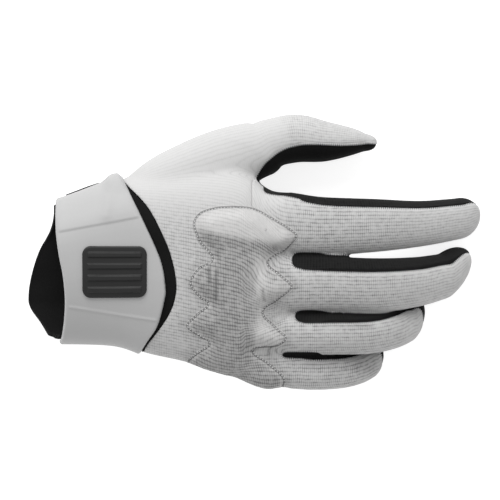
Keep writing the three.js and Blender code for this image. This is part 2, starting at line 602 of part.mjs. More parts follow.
function buildPieces() {
  const open = HAND_ROWS[0].along * HAND_LENGTH + CLOTH; // past the hollow's closed end
  const shell = handForm(0).subtract(handHollow()).subtract(behind(open));
  const pieces = { cuff: largestBody(shell.intersect(cuffRegion())) };
  let rest = shell.subtract(behindCuff(SEAM_GAP));
  for (const { name, start, near, far } of STRIPS) {
    pieces[name] = largestBody(rest.intersect(stripRegion(start, near, far)));
    rest = rest.subtract(stripRegion(start, near, far, SEAM_GAP));
  }

  const web = THUMB_WEB * HAND_WIDTH;
  let back = rest.intersect(backRegion());
  rest = rest.subtract(backRegion(SEAM_GAP));
  for (const name of Object.keys(FINGERS)) {
    const own = fingerRegion(name);
    const wider = fingerRegion(name, SEAM_GAP);
    pieces[`${name}_back`] = largestBody(back.intersect(own).intersect(ahead(KNUCKLE_SEAM + SEAM_GAP, -WIDE, web)));
    back = back.subtract(wider.intersect(ahead(KNUCKLE_SEAM, -WIDE, web + SEAM_GAP)));
    pieces[`${name}_front`] = largestBody(rest.intersect(own).intersect(ahead(FRONT_SEAM + SEAM_GAP, -WIDE, web)));
    rest = rest.subtract(wider.intersect(ahead(FRONT_SEAM, -WIDE, web + SEAM_GAP)));
  }
  pieces.hand_back = largestBody(back);
  pieces.thumb_palm = largestBody(rest.intersect(ahead(THUMB_SEAM, web, WIDE)));
  pieces.palm = largestBody(rest.subtract(ahead(THUMB_SEAM - SEAM_GAP, web - SEAM_GAP, WIDE)));

  pieces.wrist_strap = largestBody(bandOf(SEAM_GAP, SEAM_GAP + STRAP_THICKNESS).intersect(strapRegion()));
  pieces.strap_patch = strapPatch();
  pieces.knuckle_pad = knucklePad();
  return pieces;
}

// Colours from the photograph: light grey knit and strap, near black strips, palm and cuff
const FINISHES = {
  knit: { color: 0xd2d3d4, roughness: 0.92, metalness: 0 },
  sideKnit: { color: 0x232527, roughness: 0.9, metalness: 0 },
  suede: { color: 0x121314, roughness: 0.95, metalness: 0 },
  neoprene: { color: 0x17181a, roughness: 0.85, metalness: 0 },
  strapSkin: { color: 0xc9cacc, roughness: 0.6, metalness: 0 },
  rubber: { color: 0x2a2c2f, roughness: 0.55, metalness: 0 },
};
const FINISH_OF = {
  hand_back: "knit",
  index_back: "knit",
  middle_back: "knit",
  ring_back: "knit",
  little_back: "knit",
  knuckle_pad: "knit",
  index_side_strip: "sideKnit",
  index_middle_gusset: "sideKnit",
  middle_ring_gusset: "sideKnit",
  ring_little_gusset: "sideKnit",
  thumb_palm: "suede",
  palm: "suede",
  index_front: "suede",
  middle_front: "suede",
  ring_front: "suede",
  little_front: "suede",
  cuff: "neoprene",
  wrist_strap: "strapSkin",
  strap_patch: "rubber",
};

function meshOf(name, solid) {
  const { numProp, numVert, vertProperties, triVerts } = solid.getMesh();
  const positions = new Float32Array(numVert * 3);
  for (let i = 0; i < numVert; i++) positions.set(vertProperties.subarray(i * numProp, i * numProp + 3), i * 3);
  const geometry = new THREE.BufferGeometry();
  geometry.setAttribute("position", new THREE.BufferAttribute(positions, 3));
  geometry.setIndex(new THREE.BufferAttribute(triVerts, 1));
  geometry.computeVertexNormals();
  const mesh = new THREE.Mesh(geometry, new THREE.MeshStandardMaterial(FINISHES[FINISH_OF[name]]));
  mesh.name = name;
  return mesh;
}

const glove = new THREE.Group();
for (const [name, solid] of Object.entries(buildPieces())) glove.add(meshOf(name, solid));

// The origin is the middle of the glove's footprint, on the table
const bounds = new THREE.Box3().setFromObject(glove);
const middle = bounds.getCenter(new THREE.Vector3());
glove.position.set(-middle.x, -middle.y, -bounds.min.z);

export default glove;
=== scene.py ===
# %% [markdown]
# # A motocross glove
#
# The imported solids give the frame: metres, +X from the cuff to the fingertips, +Y towards the thumb, +Z up.
# The glove's cloth is made anew here from the same sizes, as one smooth skin that is cut along its seams.

# %% The frame
import math

import bmesh
import bpy
import numpy as np
from mathutils import Matrix, Vector
from mathutils.kdtree import KDTree


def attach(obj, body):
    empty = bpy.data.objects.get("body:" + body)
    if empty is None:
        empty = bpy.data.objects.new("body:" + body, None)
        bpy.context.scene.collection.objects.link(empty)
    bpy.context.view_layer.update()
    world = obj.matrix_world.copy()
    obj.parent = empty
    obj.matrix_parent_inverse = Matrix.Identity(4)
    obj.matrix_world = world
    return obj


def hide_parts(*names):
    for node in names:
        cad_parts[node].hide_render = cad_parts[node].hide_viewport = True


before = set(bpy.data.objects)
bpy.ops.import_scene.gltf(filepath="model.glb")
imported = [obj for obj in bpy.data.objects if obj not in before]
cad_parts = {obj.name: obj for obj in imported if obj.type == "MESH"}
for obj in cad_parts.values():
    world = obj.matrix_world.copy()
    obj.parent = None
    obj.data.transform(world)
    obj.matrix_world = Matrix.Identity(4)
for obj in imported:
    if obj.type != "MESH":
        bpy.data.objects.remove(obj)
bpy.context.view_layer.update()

print("solids", len(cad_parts))

# %% [markdown]
# ## Sizes
#
# The lengths are in millimetres from the wrist opening, as a glove maker would take them, and the tables hold
# shares of them. They become metres in the shared frame only where a mesh is made or changed.

# %% Sizes and tables
MM = 0.001
WRIST = np.array([-94.492, -8.418, 0.0])  # the wrist opening's place in the frame
HAND_LENGTH, HAND_WIDTH, HAND_DEPTH = 114.0, 94.0, 44.0
THUMB_START, THUMB_REACH, THUMB_SPREAD = 44.0, 109.0, 27.0
THUMB_WIDTH, THUMB_HEIGHT, THUMB_ROOT, THUMB_TIP = 24.0, 27.0, 0.385, 5.6
FINGER_ARCH = 33.0
CLOTH = 1.3
THUMB_SQUARE, FINGER_SQUARE = 2.1, 2.15  # 2 is a round section, more is squarer
HAND_LEAN, LITTLE_SIDE_SEAM = 0.25, 205  # how the hand's back slopes, and the seam's angle at its edge
HAND_SECTIONS, THUMB_SECTIONS, FINGER_SECTIONS = 130, 120, 100


def table(columns, rows):
    return dict(zip(columns.split(), np.array(rows, float).T))


HAND = table("along thumb_edge little_edge floor top square seam", [
    (-0.185, 0.32, -0.355, -0.04, 0.94, 2.2, -25),
    (0.0, 0.347, -0.352, -0.06, 0.97, 2.2, -25),
    (0.24, 0.452, -0.362, -0.06, 0.95, 2.3, -25),
    (0.38, 0.49, -0.415, -0.08, 0.955, 2.4, -25),
    (0.518, 0.51, -0.452, -0.08, 0.965, 2.45, -25),
    (0.64, 0.52, -0.49, -0.05, 0.985, 2.5, -25),
    (0.75, 0.515, -0.52, 0.02, 1.0, 2.5, -16),
    (0.83, 0.47, -0.53, 0.12, 0.985, 2.5, 6),
    (0.91, 0.405, -0.53, 0.24, 0.93, 2.4, 24),
    (0.975, 0.37, -0.52, 0.36, 0.84, 2.2, 26),
    (1.0, 0.36, -0.52, 0.38, 0.82, 2.2, 26),
])
THUMB = table("along out rise wide tall", [
    (-0.1, -0.3, 0.4, 0.9, 0.9),
    (0.06, 0.15, 0.4, 1.19, 1.16),
    (0.267, 0.54, 0.38, 1.23, 1.2),
    (0.4, 0.715, 0.37, 1.21, 1.14),
    (0.49, 0.815, 0.355, 1.12, 1.07),
    (0.545, 0.93, 0.345, 0.97, 1.03),
    (0.65, 1.01, 0.33, 0.95, 1.0),
    (0.77, 0.96, 0.305, 0.81, 0.95),
    (0.89, 0.955, 0.275, 0.55, 0.79),
    (0.955, 0.94, 0.25, 0.33, 0.55),
])
THUMB_SEAMS = (-62, 168)  # degrees, from the side towards the thumb's outer edge
FINGER_COLUMNS = "along aside rise wide deep"
FINGERS = {
    "index": dict(
        root=(92, 24), reach=111.5, width=27.6, depth=20, roll=12, tip=11, tip_shift=0.06,
        seams=(40, 163, 205, 335), taper=0.6,
        rows=table(FINGER_COLUMNS, [
            (0.0, 0.02, 0.88, 1.02, 1.2),
            (0.15, -0.04, 0.93, 1.13, 1.3),
            (0.31, -0.085, 0.955, 1.05, 1.07),
            (0.53, -0.07, 0.85, 0.955, 0.97),
            (0.74, -0.035, 0.53, 0.815, 0.9),
            (0.905, 0.05, 0.275, 0.73, 0.83),
        ])),
    "middle": dict(
        root=(92, -6), reach=107.7, width=26.9, depth=20, roll=18, tip=15.5, tip_shift=0.26,
        seams=(47, 163, 205, 335), taper=0.3,
        rows=table(FINGER_COLUMNS, [
            (0.0, 0.02, 0.9, 1.0, 1.2),
            (0.14, 0.01, 0.96, 1.04, 1.3),
            (0.34, 0.0, 1.005, 1.0, 1.06),
            (0.56, -0.02, 0.905, 0.98, 0.97),
            (0.74, 0.035, 0.64, 0.9, 0.93),
            (0.87, 0.14, 0.355, 0.81, 0.87),
        ])),
    "ring": dict(
        root=(92, -29.2), reach=87.5, width=20.2, depth=18.6, roll=22, tip=12.5, tip_shift=0.26,
        seams=(37, 163, 205, 335), taper=0.3,
        rows=table(FINGER_COLUMNS, [
            (0.0, 0.0, 0.84, 1.06, 1.15),
            (0.2, 0.0, 0.92, 1.0, 1.18),
            (0.45, -0.015, 0.96, 0.99, 1.03),
            (0.65, -0.005, 0.82, 1.0, 0.97),
            (0.78, 0.09, 0.58, 0.98, 0.91),
            (0.86, 0.22, 0.365, 0.93, 0.85),
        ])),
    "little": dict(
        root=(86, -45.6), reach=71.7, width=17.2, depth=16.6, roll=24, tip=9.5, tip_shift=0.22,
        seams=(24, 200, 222, 335), taper=0.3,
        rows=table(FINGER_COLUMNS, [
            (0.0, 0.3, 0.68, 0.9, 0.9),
            (0.2, 0.03, 0.745, 1.0, 1.12),
            (0.45, -0.115, 0.795, 1.0, 1.05),
            (0.67, -0.11, 0.69, 0.995, 0.97),
            (0.8, -0.02, 0.48, 0.96, 0.92),
            (0.88, 0.1, 0.31, 0.88, 0.86),
        ])),
}

# %% [markdown]
# ## The limbs
#
# The hand, the thumb and each finger is a row of cross-sections. A few rows in a table are enough when a
# smooth curve runs through them, so each limb is filled in to a section about every millimetre.


# %% Limbs from the tables
def through(rows, count):
    """Values on a smooth curve through the rows."""
    padded = np.vstack([2 * rows[0] - rows[1], rows, 2 * rows[-1] - rows[-2]])
    place = np.linspace(0, len(rows) - 1, count)
    at = np.minimum(place.astype(int), len(rows) - 2)
    w = (place - at)[:, None]
    a, b, c, d = (padded[at + i] for i in range(4))
    return 0.5 * (2 * b + (c - a) * w + (2 * a - 5 * b + 4 * c - d) * w**2 + (3 * b - a - 3 * c + d) * w**3)


def unit(vectors):
    return vectors / np.linalg.norm(vectors, axis=-1, keepdims=True)


def limb(centres, wide, deep, square, seams, count, roll=0, tip=0, tip_shift=0, lean=0, upright=False):
    """Cross-sections along a limb: wide and deep are half sizes, seams are angles in degrees."""
    rows = np.column_stack([centres, wide, deep, np.broadcast_to(square, len(wide)), *seams])
    rows = through(rows, count)
    centre = rows[:, :3]
    along = unit(np.gradient(centre, axis=0))
    if upright:
        along[:] = (1, 0, 0)
    level = unit(np.cross([0, 0, 1], along))
    turn = math.radians(roll)
    across = level * math.cos(turn) + np.cross(along, level) * math.sin(turn)
    return dict(
        centre=centre, along=along, across=across, up=np.cross(along, across),
        wide=rows[:, 3], deep=rows[:, 4], square=rows[:, 5], seams=np.radians(rows[:, 6:]),
        lean=lean, tip=tip, tip_shift=tip_shift,
    )


TIP_STEPS, TIP_TURN = 8, 86  # sections in a round end, and how many degrees of the quarter circle they cover


def with_tip(part):
    """The sections with the limb's round end, which shrink as a quarter circle does."""
    if not part["tip"]:
        return part
    share = np.sin(np.linspace(0, 1, TIP_STEPS + 1)[1:] * math.radians(TIP_TURN))
    longer = dict(part)
    for key, rows in part.items():
        if isinstance(rows, np.ndarray):
            longer[key] = np.concatenate([rows, np.repeat(rows[-1:], TIP_STEPS, axis=0)])
    last = len(part["centre"])
    reach = part["along"][-1] * part["tip"] + part["across"][-1] * part["tip_shift"]
    longer["centre"][last:] += share[:, None] * reach
    longer["wide"][last:] *= np.sqrt(1 - share**2)
    longer["deep"][last:] *= np.sqrt(1 - share**2)
    return longer


def make_hand():
    top, floor = HAND["top"] * HAND_DEPTH, HAND["floor"] * HAND_DEPTH
    thumb_side, little_side = HAND["thumb_edge"] * HAND_WIDTH, HAND["little_edge"] * HAND_WIDTH
    along = HAND["along"] * HAND_LENGTH
    centres = np.column_stack([along, (thumb_side + little_side) / 2, (top + floor) / 2])
    seams = [HAND["seam"], np.full(len(top), LITTLE_SIDE_SEAM)]
    return limb(centres, (thumb_side - little_side) / 2, (top - floor) / 2, HAND["square"], seams,
                HAND_SECTIONS, lean=HAND_LEAN, upright=True)


def make_thumb():
    along = THUMB_START + THUMB["along"] * THUMB_REACH
    out = THUMB_ROOT * HAND_WIDTH + THUMB["out"] * THUMB_SPREAD
    centres = np.column_stack([along, out, THUMB["rise"] * HAND_DEPTH])
    seams = [np.full(len(along), angle) for angle in THUMB_SEAMS]
    return limb(centres, THUMB["wide"] * THUMB_WIDTH / 2, THUMB["tall"] * THUMB_HEIGHT / 2, THUMB_SQUARE,
                seams, THUMB_SECTIONS, tip=THUMB_TIP)


def make_finger(facts):
    rows = facts["rows"]
    along = facts["root"][0] + rows["along"] * facts["reach"]
    aside = facts["root"][1] + rows["aside"] * facts["width"]
    centres = np.column_stack([along, aside, rows["rise"] * FINGER_ARCH])
    first = facts["seams"][0] * np.minimum(1, 0.4 + rows["along"] / facts["taper"])
    seams = [first, *[np.full(len(first), angle) for angle in facts["seams"][1:]]]
    shift = facts["tip_shift"] * facts["width"]
    return limb(centres, rows["wide"] * facts["width"] / 2, rows["deep"] * facts["depth"] / 2, FINGER_SQUARE,
                seams, FINGER_SECTIONS, roll=facts["roll"], tip=facts["tip"], tip_shift=shift)


LIMBS = {"hand": make_hand(), "thumb": make_thumb()}
for name, facts in FINGERS.items():
    LIMBS[name] = make_finger(facts)
print("limbs", list(LIMBS))


def power(value, exponent):
    return np.sign(value) * np.abs(value) ** exponent


def rings(part, sides):
    """The points of a limb's sections, none lower than the table."""
    part = with_tip(part)
    angle = np.linspace(0, 2 * math.pi, sides, endpoint=False)[None, :]
    c, s = np.cos(angle), np.sin(angle)
    square = 2 / part["square"][:, None]
    lean = np.where(s > 0, part["lean"] * part["deep"][:, None] * c * s, 0)
    a = part["wide"][:, None] * power(c, square)
    b = part["deep"][:, None] * power(s, square) + lean
    across, up = part["across"][:, None] * a[..., None], part["up"][:, None] * b[..., None]
    points = part["centre"][:, None] + across + up
    points[..., 2] = np.maximum(points[..., 2], 0)
    return points


# %% [markdown]
# ## One skin
#
# A knitted glove has no edges where a finger leaves the hand. Each limb is a tube of its own, and a voxel
# remesh melts the tubes into one skin, which a little smoothing rounds off at the crotches of the fingers.
# Booleans would leave a sharp line at every join, and a subdivided cage would need its joins drawn by hand.


# %% The skin
VOXEL, TUBE_SIDES, MELT_ROUNDS = 0.9, 56, 5


def tube(bm, points):
    count, sides, _ = points.shape
    made = bmesh.ops.create_grid(bm, x_segments=sides, y_segments=count - 1, size=1)["verts"]
    for vert, place in zip(made, np.concatenate([points, points[:, :1]], axis=1).reshape(-1, 3)):
        vert.co = place
    bmesh.ops.remove_doubles(bm, verts=made, dist=1e-4)


def scene_object(name, mesh):
    obj = bpy.data.objects.new(name, mesh)
    bpy.context.collection.objects.link(obj)
    return obj


def evaluated(obj):
    """The object's mesh with its modifiers applied, and the object gone."""
    graph = bpy.context.evaluated_depsgraph_get()
    mesh = bpy.data.meshes.new_from_object(obj.evaluated_get(graph))
    bpy.data.objects.remove(obj)
    return mesh


def smooth(bm, verts, rounds):
    for _ in range(rounds):
        bmesh.ops.smooth_vert(
            bm, verts=verts, factor=0.5, use_axis_x=True, use_axis_y=True, use_axis_z=True)


def make_skin():
    bm = bmesh.new()
    for part in LIMBS.values():
        tube(bm, (rings(part, TUBE_SIDES) + WRIST) * MM)
    bmesh.ops.holes_fill(bm, edges=[e for e in bm.edges if e.is_boundary], sides=0)
    bmesh.ops.recalc_face_normals(bm, faces=bm.faces)
    mesh = bpy.data.meshes.new("skin")
    bm.to_mesh(mesh)
    obj = scene_object("skin", mesh)
    remesh = obj.modifiers.new("one skin", "REMESH")
    remesh.mode, remesh.voxel_size = "VOXEL", VOXEL * MM
    bm.clear()
    bm.from_mesh(evaluated(obj))
    smooth(bm, bm.verts, MELT_ROUNDS)
    return bm


skin = make_skin()
print("skin", len(skin.faces), "faces")


# %% [markdown]
# ## Where a point of the skin lies
#
# Seams, folds and the knit's lines are all described along and around a limb. So each point of the skin is
# looked up once: the limb it belongs to, how far along, at which angle, and how near that limb's own surface.


# %% Looking points up
def places(bm):
    """The vertices in millimetres from the wrist opening."""
    return np.array([v.co for v in bm.verts]) / MM - WRIST


BLOCK = 20000  # points looked up at a time, to spare memory


def locate(points, part):
    """For each point: distance along a limb, angle around it, nearness (1 is on it) and its seams."""
    steps = np.linalg.norm(np.diff(part["centre"], axis=0), axis=1)
    length = np.concatenate([[0], np.cumsum(steps)])
    nearest = np.empty(len(points), int)
    for start in range(0, len(points), BLOCK):
        block = points[start:start + BLOCK]
        gap = ((block[:, None] - part["centre"][None]) ** 2).sum(-1)
        nearest[start:start + BLOCK] = gap.argmin(1)
    off = ((points - part["centre"][nearest]) * part["along"][nearest]).sum(1)
    along = length[nearest] + off
    inside = np.clip(along, 0, length[-1])
    place = np.interp(inside, length, np.arange(len(length)))
    at = np.minimum(place.astype(int), len(length) - 2)
    w = (place - at)[:, None]

    def mix(key):
        return part[key][at] * (1 - w) + part[key][at + 1] * w

    wide, deep, square = (
        np.interp(place, np.arange(len(length)), part[key]) for key in ("wide", "deep", "square"))
    away = points - mix("centre") - mix("along") * (along - inside)[:, None]
    if part["tip"]:
        past = np.clip((along - inside) / part["tip"], 0, 1)[:, None]
        away = away - mix("across") * part["tip_shift"] * past
    a = (away * mix("across")).sum(1) / wide
    b = (away * mix("up")).sum(1) / deep
    angle = np.arctan2(power(b, square / 2), power(a, square / 2))
    b = b - np.where(b > 0, part["lean"] * np.cos(angle) * np.sin(angle), 0)
    angle = np.arctan2(power(b, square / 2), power(a, square / 2))
    near = (np.abs(a) ** square + np.abs(b) ** square) ** (1 / square)
    outside = np.maximum(along - length[-1] - part["tip"], 0) + np.maximum(-along, 0)
    near = near + outside / deep
    return dict(along=along, angle=angle, near=near, radius=(wide + deep) / 2, seams=mix("seams"),
                past=along - length[-1])


def look_up(points):
    return {name: locate(points, part) for name, part in LIMBS.items()}


def both(*fields, blend=1.5):
    """Where all the fields are positive, with round corners."""
    return -blend * np.log(sum(np.exp(np.clip(-f / blend, -30, 30)) for f in fields))


def either(*fields, blend=1.0):
    return -both(*[-f for f in fields], blend=blend)


NEAR_LIMB, NEAR_SIDE = 1.09, 1.3  # nearness up to which cloth belongs to a limb, and to the index's side


def between_seams(at, first, last, end, reach=NEAR_LIMB):
    """How far inside the stretch between two seams a point lies, and how far within reach of the limb."""
    low = at["seams"][:, first] - (2 * math.pi if first > last else 0)
    high = at["seams"][:, last]
    middle, half = (low + high) / 2, (high - low) / 2
    turn = np.mod(at["angle"] - middle + math.pi, 2 * math.pi) - math.pi
    inside = (half - np.abs(turn)) * at["radius"]
    return both(inside, end - at["past"], blend=2.0), (reach - at["near"]) * at["radius"]


# %% [markdown]
# ## Smooth joins
#
# Where two tubes met, the skin still has a sharp valley. On a knitted glove the cloth runs straight on from
# the hand into the thumb and the fingers, so only the points near such a join are smoothed further.


# %% Smooth joins
JOIN_WIDTH, JOIN_END, JOIN_ROUNDS = 0.3, 112.0, 45


def soften_joins(bm):
    points = places(bm)
    at = look_up(points)
    limbs = np.min([found["near"] for name, found in at.items() if name != "hand"], axis=0)
    near_join = (np.abs(at["hand"]["near"] - limbs) < JOIN_WIDTH) & (points[:, 0] < JOIN_END)
    verts = [v for v, join in zip(bm.verts, near_join) if join]
    smooth(bm, verts, JOIN_ROUNDS)
    print("smoothed", len(verts), "points at the joins")


soften_joins(skin)

# %% [markdown]
# ## Cutting the skin along its seams
#
# A seam is a line on the skin where a field changes sign. Splitting the edges that cross it, and joining the
# new points, cuts the faces exactly along the line, so every panel gets a clean edge whatever the mesh is.


# %% Seam lines from above
def edge(columns, rows, length, sign=1):
    """An edge of a panel seen from above: its place along the hand for each place across it."""
    rows = table(columns, rows)
    side, out = columns.split()
    line = through(np.column_stack([rows[side] * HAND_WIDTH, sign * rows[out] * length]), 80)
    return line[np.argsort(line[:, 0])]


def smooth_step(value, low, high):
    t = np.clip((value - low) / (high - low), 0, 1)
    return t * t * (3 - 2 * t)


def closed_curve(columns, rows, per_span=8):
    rows = table(columns, rows)
    corners = np.column_stack([rows["along"] * HAND_LENGTH, rows["side"] * HAND_WIDTH])
    ring = np.vstack([corners[-1:], corners, corners[:2]])
    return through(ring, (len(ring) - 1) * per_span + 1)[per_span:-per_span - 1]


def inside_outline(points, outline):
    """Signed distance from an outline seen from above, positive inside."""
    if len(points) > BLOCK / 2:
        half = len(points) // 2
        halves = points[:half], points[half:]
        return np.concatenate([inside_outline(part, outline) for part in halves])
    p = points[:, None, :2]
    a, b = outline[None], np.roll(outline, -1, axis=0)[None]
    run = b - a
    share = np.clip(((p - a) * run).sum(-1) / (run**2).sum(-1), 0, 1)[..., None]
    gap = np.sqrt(((p - a - run * share) ** 2).sum(-1)).min(1)
    below = (a[..., 1] > p[..., 1]) != (b[..., 1] > p[..., 1])
    with np.errstate(divide="ignore", invalid="ignore"):
        cross = p[..., 0] < a[..., 0] + (p[..., 1] - a[..., 1]) * run[..., 0] / run[..., 1]
    inside = (below & cross).sum(1) % 2 == 1
    return np.where(inside, gap, -gap)


def near_line(points, start, end, width):
    """One on a line seen from above, fading to nothing beside it."""
    start, end = np.array(start), np.array(end)
    run = end - start
    share = np.clip((points[:, :2] - start) @ run / (run @ run), 0, 1)[:, None]
    gap = np.linalg.norm(points[:, :2] - start - run * share, axis=1)
    return np.exp(-((gap / width) ** 2))


# %% The edges seen from above
KNIT_EDGE = edge("side along", [
    (0.62, 0.46), (0.485, 0.53), (0.44, 0.59), (0.32, 0.775), (0.15, 0.92), (0.03, 0.985),
    (-0.08, 1.01), (-0.17, 0.985), (-0.24, 0.93), (-0.31, 0.85), (-0.38, 0.76), (-0.5, 0.65)], 57)
STRAP_NEAR = edge("side along", [
    (0.6, 0.0), (0.26, -0.006), (0.11, 0.02), (-0.025, 0.068), (-0.143, 0.087), (-0.245, 0.077),
    (-0.315, 0.056), (-0.345, 0.04), (-0.375, 0.02), (-0.6, 0.0)], 48)
STRAP_FAR = edge("side along", [
    (0.6, 0.63), (0.49, 0.65), (0.27, 0.856), (0.06, 1.04), (-0.08, 1.09), (-0.148, 1.08), (-0.276, 1.01),
    (-0.37, 0.89), (-0.6, 0.6)], 48)
TAB_EDGE = edge("side out", [
    (0.6, 0.03), (0.4, 0.06), (0.34, 0.1), (0.27, 0.13), (0.195, 0.25), (0.094, 0.53), (-0.033, 0.73),
    (-0.134, 0.8), (-0.194, 0.74), (-0.27, 0.46), (-0.337, 0.24), (-0.367, 0.05), (-0.6, 0.0)], 18, sign=-1)
PALM_START, STRAP_LIP = 35.0, 1.5
KNUCKLE_SEAM, THUMB_SEAM, THUMB_WEB = 93.5, 84.0, 0.46 * HAND_WIDTH
CUFF_TURN, TAB_TURN = (12, 22), (16, 28)  # heights between which an edge goes over from the palm to the back


def at_side(line, points):
    return np.interp(points[:, 1], line[:, 0], line[:, 1])


# The gussets: where each starts, the fingers beside it, and the middle and half width of its rounded start
GUSSETS = {
    "index_side_strip": (98.0, None, "index", None, None),
    "index_middle_gusset": (112.5, "index", "middle", 5.0, 3.9),
    "middle_ring_gusset": (114.0, "middle", "ring", -21.6, 3.1),
    "ring_little_gusset": (107.5, "ring", "little", -40.0, 1.8),
}
CROTCH_END, CROTCH_FLOOR = 128.0, 12.0
# How far the knit reaches over each round end, as a share of it
TIP_COVER = {"thumb": 1.1, "index": 0.93, "middle": 0.9, "ring": 0.45, "little": 0.45}
THUMB_INNER = closed_curve("along side", [
    (0.842, 0.455), (0.846, 0.5), (0.863, 0.534), (0.884, 0.562), (0.949, 0.62), (1.014, 0.643),
    (1.078, 0.649), (1.207, 0.643), (1.336, 0.654), (1.42, 0.65), (1.42, 0.42), (1.2, 0.35), (0.95, 0.37)])


# %% Fields of the panels
def open_end_field(points, at):
    """What lies before the cuff's open end: past the pull tab below, past the strap above."""
    over = smooth_step(points[:, 2], *TAB_TURN)
    end = at_side(TAB_EDGE, points) * (1 - over) + (at_side(STRAP_NEAR, points) + STRAP_LIP) * over
    return end - points[:, 0]


def cuff_field(points, at):
    over = smooth_step(points[:, 2], *CUFF_TURN)
    return at_side(KNIT_EDGE, points) * over + PALM_START * (1 - over) - points[:, 0]


def gusset_field(points, at, start, near, far, middle, half):
    reach = points[:, 0] - start
    strips = []
    for name, seams in ((near, (1, 2)), (far, (3, 0))):
        if name:
            near_limb = NEAR_LIMB if near else NEAR_SIDE
            inside, close = between_seams(at[name], *seams, end_of(name), near_limb)
            strips.append(both(inside, close, reach))
    if near is None:
        return strips[0]
    ahead = np.maximum(start + half - points[:, 0], 0)
    crotch = half - np.hypot(ahead, points[:, 1] - middle)
    crotch = both(crotch, CROTCH_END - points[:, 0], points[:, 2] - CROTCH_FLOOR)
    return either(*strips, crotch)


def end_of(name):
    return LIMBS[name]["tip"] * TIP_COVER[name]


NO_END, HAND_SIDE, SEAM_OVERLAP = 1e3, 48.0, 0.6


def back_field(points, at):
    """The light knit of the whole back, before it's parted over the knuckles."""
    inside, _ = between_seams(at["hand"], 0, 1, NO_END)
    fields = [both(inside, HAND_LENGTH + 1 - points[:, 0], HAND_SIDE - points[:, 1])]
    for name in ("thumb", *FINGERS):
        inside, close = between_seams(at[name], 0, 1, end_of(name))
        fields.append(both(inside, close))
    fields[1] = both(fields[1], -inside_outline(points, THUMB_INNER), blend=0.4)
    return either(*fields)


def finger_backs_field(points, at):
    return both(back_field(points, at), points[:, 0] - KNUCKLE_SEAM, THUMB_WEB - points[:, 1], blend=0.3)


def hand_back_field(points, at):
    hand = either(KNUCKLE_SEAM + SEAM_OVERLAP - points[:, 0], points[:, 1] - THUMB_WEB + SEAM_OVERLAP)
    return both(back_field(points, at), hand, blend=0.3)


def thumb_palm_field(points, at):
    return both(points[:, 0] - THUMB_SEAM, points[:, 1] - THUMB_WEB, blend=0.5)


def whatever_is_left(points, at):
    return np.ones(len(points))


# %% Fields on the skin
PANELS = {"open_end": open_end_field, "cuff": cuff_field}
for name, facts in GUSSETS.items():
    PANELS[name] = lambda points, at, facts=facts: gusset_field(points, at, *facts)
PANELS["finger_backs"] = finger_backs_field
PANELS["hand_back"] = hand_back_field
PANELS["thumb_palm"] = thumb_palm_field
PANELS["palm"] = whatever_is_left


def averaged(values, ends, rounds):
    """Values averaged with their neighbours', which takes small nicks out of a seam."""
    count = np.bincount(ends.ravel(), minlength=len(values))
    for _ in range(rounds):
        total = (np.bincount(ends[:, 0], values[ends[:, 1]], len(values))
                 + np.bincount(ends[:, 1], values[ends[:, 0]], len(values)))
        values = (values + total / count) / 2
    return values


def store(bm, name, values):
    layer = bm.verts.layers.float[name]
    for v, value in zip(bm.verts, values):
        v[layer] = value


# %% [markdown]
# The knit's lines are stored in the same way: how far along and around the limb each point lies, in
# millimetres. Near a join the coordinates of both limbs are blended, so the hand's lines run on into the
# thumb and the fingers. A UV map would need seams of its own, which would show as breaks in the ribs.


# %% The knit's lines
START = {"hand": -21, "thumb": 33, **{n: f["root"][0] for n, f in FINGERS.items()}}
BLEND, UPPER_SIDE = 0.1, 15.0
# The hand's lines slant more and more towards the wrist, and only on the thumb's side of the hand
SLANT, SLANT_END, SLANT_SIDE = 0.0019, 107.0, (-25, 15)


def girth(part):
    """Length around a limb's middle section, for each angle, from its underside towards the thumb side."""
    middle = dict(part, tip=0)
    for key, rows in part.items():
        if isinstance(rows, np.ndarray):
            middle[key] = rows[len(rows) // 2:len(rows) // 2 + 1]
    ring = np.roll(rings(middle, 180)[0], 45, axis=0)
    ring = np.vstack([ring, ring[:1]])
    run = np.concatenate([[0], np.cumsum(np.linalg.norm(np.diff(ring, axis=0), axis=1))])
    return np.radians(np.linspace(0, 360, 181)), run


def weave(points, at):
    names = list(at)
    near = np.array([at[n]["near"] for n in names])
    share = np.exp((near.min(0) - near) / BLEND)
    share /= share.sum(0)
    flat = []
    for name in names:
        angles, run = girth(LIMBS[name])
        turn = np.mod(at[name]["angle"] + math.pi / 2, 2 * math.pi)
        around = np.interp(math.pi, angles, run) - np.interp(turn, angles, run)
        flat.append(np.column_stack([START[name] + at[name]["along"], around]))
    flat = np.array(flat)
    slant = SLANT * np.maximum(SLANT_END - points[:, 0], 0) ** 2
    flat[0, :, 1] -= slant * smooth_step(points[:, 1], *SLANT_SIDE)
    for i, name in enumerate(names):
        shared = share[i] * share[0] * (points[:, 2] > UPPER_SIDE)
        flat[i] += ((flat[0] - flat[i]) * shared[:, None]).sum(0) / shared.sum()
    return (flat * share[..., None]).sum(0)


def openness(points):
    """How far the knit is pulled open: most over the knuckles, least at the base of the thumb."""
    along, aside = points[:, 0], points[:, 1]
    knuckles = smooth_step(along, 45, 95) * (1 - 0.75 * smooth_step(along, 140, 180))
    wrist = 1 - smooth_step(along, 62, 92)
    thumb_root = smooth_step(aside, 16, 40) * (1 - smooth_step(along, 105, 120))
    thumb = smooth_step(aside, 44, 52)
    plain = np.maximum(0.85 * thumb_root, 0.4 * thumb)
    return (0.42 + 0.1 * wrist + 0.33 * knuckles) * (1 - plain)


